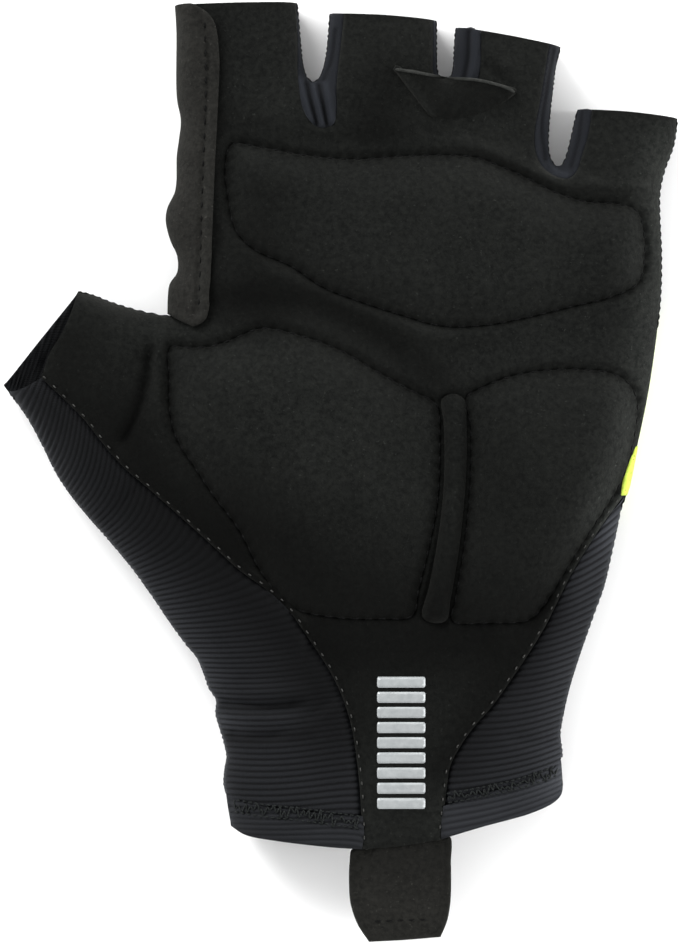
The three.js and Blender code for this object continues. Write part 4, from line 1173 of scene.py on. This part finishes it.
# Index guard: a double strip of the suede folded round the outer edge of the first finger and sewn on
# top of the palm panel, with soft waves along its free fold.
GUARD_OUTER = [(174.5, 5), (176, 30), (176.5, 97), (180.5, 120), (178.5, 140), (176.5, 155), (175, 190),
               (167, 208), (165.5, 221), (170, 240), (177, 256), (177, 272), (169.5, 284), (167.5, 300),
               (167.5, 330)]
GUARD_INNER = [(193, 4.5), (207, 13), (215, 24), (219.5, 56), (219, 87), (215, 173), (212.5, 238),
               (209.7, 290), (208.6, 312), (204, 322), (194, 327)]
GUARD_FOOT = [(167.5, 314), (180, 321), (194, 327)]
GUARD_TIP = [(174.5, 5), (184, 4), (193, 4.5)]
GUARD_THICK = 1.0
GUARD_BACK = {"width": 0.9, "wall": 0.6}
GUARD_RISE = 0.85
GUARD_SPREAD = 1
GUARD_BEAD = {"lift": 0.25, "at": 0.7, "width": 0.6}
GUARD_DIP = {"lift": 0.45, "at": 2.3, "width": 0.5}
FOLD_ROWS = [-0.15, 0.15, -0.4, 0.4]
GUARD_DARK = (0.0050, 0.0050, 0.0046)
GUARD_LIGHT = (0.0150, 0.0147, 0.0132)
guard_suede = suede("guard_suede", GUARD_DARK, GUARD_LIGHT, 1.2)
guard_outer = curve(GUARD_OUTER, 0.4)
guard_inner = curve(GUARD_INNER, 0.4)
guard_foot = curve(GUARD_FOOT, 0.4)
guard_net = net([guard_outer])
guard_rim = net([np.vstack([guard_inner, guard_foot[::-1]])])


def ridge_at(gap, mark):
    """A ridge that runs beside a line, at a distance from it."""
    return mark["lift"] * bell(gap - mark["at"], mark["width"])


def guard_face(plan):
    """The strip's own height: it wraps the edge a little outside the hand."""
    height, edge = form(plan)
    share = np.clip(1 - measure(plan, guard_net)[0] / (edge + GUARD_SPREAD), 0, 1)
    middle = SIDE_MIDDLE * height
    rim = measure(plan, guard_rim)[0]
    bead = ridge_at(rim, GUARD_BEAD) - ridge_at(rim, GUARD_DIP)
    return middle + (height + GUARD_RISE - middle) * rounded(share) + bead


def guard_under(plan):
    """The strip's lower part, below the fold."""
    return under_face(plan, measure(plan, guard_net)[0])


def edged_fill(outline, spacing, line, reach, offsets, row_spacing):
    """Triangles that fill an outline, with rows of points beside the line where its form turns down."""
    inner = lattice(outline, spacing)
    inner = inner[measure(inner, net([line]))[0] > reach]
    rows = beside(line, offsets, row_spacing)
    rows = rows[inside(rows, outline)]
    rows = rows[measure(rows, net([outline], True))[0] > CLOSEST]
    return triangulate(outline, np.vstack([inner, rows]))


guard_fold = between(guard_outer, GUARD_OUTER[0], GUARD_FOOT[0])
guard_outline = chain([curve(GUARD_TIP, 0.4), guard_inner, guard_foot[::-1], guard_fold[::-1]])
plan, faces = edged_fill(guard_outline, 0.5, guard_outer, 0.6, FOLD_ROWS, 0.5)
guard_top = thicken(np.column_stack([plan, guard_face(plan)]), faces, GUARD_THICK)
low_outline = chain([guard_fold, beside(guard_fold, [GUARD_BACK["width"]], 0.4)[::-1]])
plan, faces = triangulate(low_outline, lattice(low_outline, 0.3))
guard_low = thicken(np.column_stack([plan, guard_under(plan)]), faces[:, ::-1], GUARD_BACK["wall"])
guard = add_mesh("index_guard_strip", *joined([guard_top, guard_low]), guard_suede)
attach(guard, "root")
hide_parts("index_guard")

# Pull web: a small suede flap sewn across the roots of the middle and ring fingers, held to drag the
# glove off. Its free rim stands up, and a tube of much lighter suede along it is a painted highlight,
# with painted shade in its middle.
WEB_RIM = [(393, 70), (415, 73.5), (436, 77), (454, 79.5), (474, 81), (490, 84), (505, 88.5), (516, 94)]
WEB_FOOT = [(393, 70), (407, 88), (420, 105), (432, 118), (450, 121), (475, 117), (500, 106), (516, 94)]
WEB_CREASE = {"line": [(402, 75), (416, 95), (430, 117)], "lift": 0.55, "width": 0.8, "light": 1.4}
WEB_RIM_SHADE = {"at": (445, 80), "dark": 0.75, "width": 2.2}
WEB_LIFT = 3.3
WEB_END = 0.55
WEB_CURL = 0.75
WEB_SUNK = 0.25
WEB_WALL = 0.9
RIM_THICK = 0.30
# Colours of the rim's lighter suede: a painted highlight along the rim.
RIM_HIGHLIGHT_DARK = (0.010, 0.011, 0.010)
RIM_HIGHLIGHT_LIGHT = (0.032, 0.033, 0.031)
web_rim, web_foot = curve(WEB_RIM, 0.4), curve(WEB_FOOT, 0.4)
web_rim_net, web_foot_net = net([web_rim]), net([web_foot])
web_crease = net([curve(WEB_CREASE["line"], 0.4)])


def web_face(plan):
    """The flap's height as it rises to its rim."""
    low, high = measure(plan, web_foot_net)[0] + 0.05, measure(plan, web_rim_net)[0] + 0.05
    rise = low / (low + high)
    across = (plan[:, 0] - web_rim[0, 0]) / (web_rim[-1, 0] - web_rim[0, 0])
    lift = WEB_LIFT * (WEB_END + (1 - WEB_END) * np.sin(math.pi * np.clip(across, 0, 1)))
    crease = WEB_CREASE["lift"] * bell(measure(plan, web_crease)[0], WEB_CREASE["width"])
    crease *= np.clip(3 * (1 - rise), 0, 1)
    return upper_face(plan) - WEB_SUNK + lift * rise ** WEB_CURL + crease


web_outline = chain([web_rim, web_foot[::-1]])
plan, faces = triangulate(web_outline, lattice(web_outline, 0.35))
# Painted shade over the flap, with painted light along its crease's ridge.
painted_shading = 0.55 + 0.5 * bell(measure(plan, web_crease)[0], WEB_CREASE["light"])
points, faces = thicken(np.column_stack([plan, web_face(plan)]), faces, WEB_WALL)
web = add_mesh("web_flap", points, faces, suede_material, shade=np.tile(painted_shading, 2))
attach(web, "root")
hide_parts("pull_web")

rim_highlight_suede = suede("rim_highlight_suede", RIM_HIGHLIGHT_DARK, RIM_HIGHLIGHT_LIGHT)
rim_path = np.column_stack([web_rim, web_face(web_rim)])[1:-1]
points, faces = tubes([rim_path], RIM_THICK)
# Painted shade in the middle of the rim, fading towards both ends.
rim_shade = shaded(points[:, 0] - on_sheet([WEB_RIM_SHADE["at"]])[0, 0], WEB_RIM_SHADE)
web_edge = add_mesh("web_rim", points, faces, rim_highlight_suede, shade=rim_shade)
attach(web_edge, "root")

# Wrist tab: the suede strip runs on below the cuff as a doubled pull tab with clipped corners, which
# hangs down a little from the hem.
TAB_SIDE = [(362, 846), (352, 848), (349.5, 862), (349, 885), (350.5, 903), (357.5, 924), (369, 942)]
TAB_END = [(369, 942), (405, 940), (440.5, 937)]
TAB_RIGHT = [(440.5, 937), (447, 921), (450.2, 903), (451, 880), (450.7, 862), (450, 836), (442, 836)]
TAB_TOP = [(442, 836), (400, 844), (362, 846)]
TAB_HINGE = (400, 835)
TAB_SHADOW = (400, 845)
TAB_LEVEL = 13.4
TAB_WALL = 2.2
TAB_ROUND = 0.9
TAB_DROP = 4.6
TAB_HANG = 21
TAB_SHADOW_RUN = 12
TAB_WELTS = [{"lift": 0.25, "at": 1.2, "width": 0.35}, {"lift": 0.18, "at": 2.2, "width": 0.35}]
TAB_ROWS = [0.15, 0.4, 0.8, -0.15, -0.4, -0.8]
TAB_DARK = (0.0052, 0.0053, 0.0048)
TAB_LIGHT = (0.0155, 0.0153, 0.0137)
tab_suede = suede("tab_suede", TAB_DARK, TAB_LIGHT, 1.2)
tab_side, tab_end, tab_right = curve(TAB_SIDE, 0.4), curve(TAB_END, 0.4), curve(TAB_RIGHT, 0.4)
tab_rim = np.vstack([tab_side, tab_end[1:], tab_right[1:]])
tab_net = net([tab_rim])
tab_outline = chain([tab_side, tab_end, tab_right, curve(TAB_TOP, 0.4)])


def below(plan, spot):
    """How far points lie below a spot of the pattern sheet."""
    return on_sheet([spot])[0, 1] - plan[:, 1]


def tab_middle(plan):
    """Height of the tab's middle layer: level with the strip at the hem, then hanging down."""
    share = np.clip(below(plan, TAB_HINGE) / TAB_HANG, 0, 1)
    return TAB_LEVEL - 0.5 * TAB_WALL - TAB_DROP * share ** 1.2


def tab_swell(plan):
    """Half the tab's thickness, rounded off at its edges and pressed in along two sewn lines."""
    edge = measure(plan, tab_net)[0]
    share = np.clip(1 - edge / TAB_ROUND, 0, 1)
    welt = ridge_at(edge, TAB_WELTS[0]) + ridge_at(edge, TAB_WELTS[1])
    return 0.5 * TAB_WALL * (0.25 + 0.75 * rounded(share)) - welt


def tab_face(plan):
    """Height of the tab's upper side."""
    return tab_middle(plan) + tab_swell(plan)


plan, faces = edged_fill(tab_outline, 0.4, tab_rim, 1.0, TAB_ROWS, 0.4)
points, faces = closed_shell(np.column_stack([plan, tab_face(plan)]),
                             np.column_stack([plan, tab_middle(plan) - tab_swell(plan)]), faces)
# Painted shadow of the hem on the tab: darker at the top, lighter lower down.
painted_shading = 0.6 + 0.4 * np.clip(below(plan, TAB_SHADOW) / TAB_SHADOW_RUN, 0, 1)
tab = add_mesh("pull_tab", points, faces, tab_suede, shade=np.tile(painted_shading, 2))
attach(tab, "root")
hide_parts("wrist_tab")

# Sewing on show: pale dashes along the suede's edges, dark dots along the guard and the tab, and the
# cover stitch that holds the cuff hem, two needle lines with a looping thread between them.
SEAM_STITCH = {"pitch": 2.7, "length": 0.8, "lift": 0.14}
SEAM_INSET = 0.5
SEAM_THREAD = 0.13
GUARD_SEWN = [(205, 22), (206, 90), (203, 180), (201, 255), (199, 312)]
TAB_SEWN = [(374, 921), (400, 920), (430, 919)]
GUARD_ARCH = 0.12
TAB_STITCH = {"pitch": 2.2, "length": 1.6, "lift": 0.10}
EDGE_THREAD = 0.16
COVER_PITCH = 1.15
COVER_STITCH = {"pitch": COVER_PITCH, "length": 0.8, "lift": 0.2}
COVER_THREAD = 0.15
COVER_LEFT = [(359, 821), (330, 817), (300, 813), (265, 809.5), (234, 805)]
COVER_RIGHT = [(447, 797), (480, 791), (520, 782), (557, 770)]
COVER_REACHES = (1.5, 1.15)
COVER_NEEDLES = 0.8
COVER_LIFT = 0.45
LOOP_LIFT = 0.48
LOOP_REACH = (0.1, 1.1)
LOOP_STRAY = (-0.25, 0.25)
LOOP_ARCH = (0.05, 0.2)
PALE_THREAD = (0.038, 0.038, 0.036)
GREY_THREAD = (0.0095, 0.0110, 0.0106)
thread_pale = thread_material("pale_thread", PALE_THREAD, 0.55)
thread_grey = thread_material("grey_thread", GREY_THREAD, 0.55)


def shift(line, offset):
    """A line moved sideways to its left."""
    return line + offset * leftward(line)


seam_stitches = []
for line, offset in ((thumb_seam, SEAM_INSET), (outer_seam, -SEAM_INSET)):
    seam_stitches += stitch_paths(shift(line, offset), palm_face, **SEAM_STITCH)
seam_thread = add_mesh("seam_stitches", *tubes(seam_stitches, SEAM_THREAD), thread_pale)
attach(seam_thread, "root")

dark_stitches = stitch_paths(curve(GUARD_SEWN, 0.4), guard_face, STITCH_PITCH, STITCH_LENGTH, GUARD_ARCH)
dark_stitches += stitch_paths(curve(TAB_SEWN, 0.4), tab_face, **TAB_STITCH)
edge_thread = add_mesh("edge_stitches", *tubes(dark_stitches, EDGE_THREAD), thread_dark)
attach(edge_thread, "root")


def cover_seat(plan):
    """Height of the cover stitch's two needle lines on the hem."""
    return upper_face(plan) + COVER_LIFT


rng = np.random.default_rng(5)
cover = []
for steps, reach in zip((COVER_LEFT, COVER_RIGHT), COVER_REACHES):
    line = curve(steps, 0.4)
    for offset in (-COVER_NEEDLES * reach, COVER_NEEDLES * reach):
        cover += stitch_paths(shift(line, offset), cover_seat, **COVER_STITCH)
    even = resample(line, COVER_PITCH / 2)
    sway = np.where(np.arange(len(even)) % 2, reach, -reach) * rng.uniform(*LOOP_REACH, len(even))
    flat = even + sway[:, None] * (shift(even, 1.0) - even) + rng.uniform(*LOOP_STRAY, even.shape)
    for start, end in zip(flat[:-1], flat[1:]):
        share = np.linspace(0, 1, 6)[:, None]
        path = start * (1 - share) + end * share
        z = upper_face(path) + LOOP_LIFT + rng.uniform(*LOOP_ARCH) * np.sin(math.pi * share[:, 0])
        cover.append(np.column_stack([path, z]))
cover_thread = add_mesh("cover_stitch", *tubes(cover, COVER_THREAD), thread_grey)
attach(cover_thread, "root")

# Reflective bars: plain short bands of silver film pressed on the wrist strip, which light up in the
# beam of a headlamp.
BAR_LEFT, BAR_RIGHT = 377, 425
BAR_FIRST, BAR_LAST, BAR_COUNT = 676, 812, 9
BAR_FILL = 0.72
BAR_CORNER = (1, 1.5)
BAR_FILM = 0.14
BAR_SUNK = 0.1
FILM_DARK = (0.20, 0.215, 0.22)
FILM_LIGHT = (0.36, 0.375, 0.38)
film = finish("reflective_film", {"Roughness": 0.42, "Metallic": 0.25}, [
    ("place", "ShaderNodeTexCoord", {}),
    ("beads", "ShaderNodeTexVoronoi", {"Scale": 3200.0}),
    ("wear", "ShaderNodeTexNoise", {"Scale": 700.0, "Detail": 4.0, "Roughness": 0.6}),
    ("shade", "ShaderNodeMix", {"data_type": "RGBA", 6: scaled(FILM_DARK), 7: scaled(FILM_LIGHT)}),
    ("bump", "ShaderNodeBump", {"Strength": 0.3, "Distance": 0.00008}),
], [
    ("place", "Object", "beads", "Vector"), ("place", "Object", "wear", "Vector"),
    ("wear", "Fac", "shade", 0), ("shade", 2, "surface", "Base Color"),
    ("beads", "Distance", "bump", "Height"), ("bump", "Normal", "surface", "Normal"),
])
bar_parts = []
bar_pitch = (BAR_LAST - BAR_FIRST) / BAR_COUNT
cut_x, cut_y = BAR_CORNER
for k in range(BAR_COUNT):
    top = BAR_FIRST + k * bar_pitch
    low = top + BAR_FILL * bar_pitch
    corners = [(BAR_LEFT + cut_x, top), (BAR_RIGHT - cut_x, top), (BAR_RIGHT, top + cut_y),
               (BAR_RIGHT, low - cut_y), (BAR_RIGHT - cut_x, low), (BAR_LEFT + cut_x, low),
               (BAR_LEFT, low - cut_y), (BAR_LEFT, top + cut_y)]
    outline = resample(on_sheet(corners), 0.3, closed=True)
    plan, faces = triangulate(outline, lattice(outline, 0.6))
    points = np.column_stack([plan, palm_face(plan) + BAR_FILM])
    bar_parts.append(thicken(points, faces, BAR_FILM + BAR_SUNK))
bars = add_mesh("reflective_bars", *joined(bar_parts), film)
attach(bars, "root")

# Studio: a camera straight above the glove at the photograph's framing and a plain pale floor. A broad
# lamp stands at the upper left, a second one low on the right, and the white surroundings are brightest
# near the floor.
CAMERA_HEIGHT = 1.6
FOCUS_LEVEL = 0.008
FRAME_STEPS = 947
FRAME_SHIFT = (0.7, 2.75)
SENSOR = 36
FLOOR_REACH = 3000
FLOOR_LEVEL = -0.1
LAMP_SIZE = 0.9
KEY_LAMP = {"place": (-0.9, 1.2, 0.85), "power": 31}
EDGE_LAMP = {"place": (1.3, -0.2, 0.55), "power": 24}
frame_height = FRAME_STEPS * PATTERN_STEP * MM
camera_data = bpy.data.cameras.new("camera")
camera_data.lens = SENSOR * (CAMERA_HEIGHT - FOCUS_LEVEL) / frame_height
camera_data.sensor_width = SENSOR
camera_data.clip_end = 20
camera = bpy.data.objects.new("camera", camera_data)
frame_centre = [steps * PATTERN_STEP * MM for steps in FRAME_SHIFT]
camera.location = (*frame_centre, CAMERA_HEIGHT)
bpy.context.collection.objects.link(camera)
bpy.context.scene.camera = camera

pale_floor = finish("pale_floor", {"Base Color": (0.93, 0.93, 0.93, 1), "Roughness": 0.9})
floor_corners = [(x * FLOOR_REACH, y * FLOOR_REACH, FLOOR_LEVEL)
                 for x, y in ((-1, -1), (1, -1), (1, 1), (-1, 1))]
floor = add_mesh("floor", floor_corners, [(0, 1, 2, 3)], pale_floor, smooth=False)


def softbox(name, place, power):
    """A large soft light at a place, turned to the glove."""
    data = bpy.data.lights.new(name, "AREA")
    data.shape = "RECTANGLE"
    data.size = data.size_y = LAMP_SIZE
    data.energy = power
    lamp = bpy.data.objects.new(name, data)
    lamp.location = place
    lamp.rotation_euler = (-Vector(place)).to_track_quat("-Z", "Y").to_euler()
    bpy.context.collection.objects.link(lamp)


softbox("key", **KEY_LAMP)
softbox("edge", **EDGE_LAMP)
world = bpy.data.worlds.new("studio")
bpy.context.scene.world = world
world.use_nodes = True
background = world.node_tree.nodes["Background"]
background.inputs["Color"].default_value = (1, 1, 1, 1)
wire(world.node_tree, {"back": background}, [
    ("place", "ShaderNodeTexCoord", {}), ("split", "ShaderNodeSeparateXYZ", {}),
    ("height", "ShaderNodeMapRange", {"From Min": 0.0, "From Max": 1.0, "To Min": 2.6, "To Max": 0.4}),
    ("lean", "ShaderNodeMath", {"operation": "MULTIPLY_ADD", 1: -0.28, 2: 1.0}),
    ("slope", "ShaderNodeMath", {"operation": "MULTIPLY_ADD", 1: 0.22}),
    ("power", "ShaderNodeMath", {"operation": "MULTIPLY"}),
], [
    ("place", "Generated", "split", "Vector"), ("split", "Z", "height", "Value"),
    ("split", "X", "lean", 0), ("split", "Y", "slope", 0), ("lean", 0, "slope", 2),
    ("height", "Result", "power", 0), ("slope", 0, "power", 1), ("power", 0, "back", "Strength"),
])
bpy.context.scene.view_settings.view_transform = "Standard"
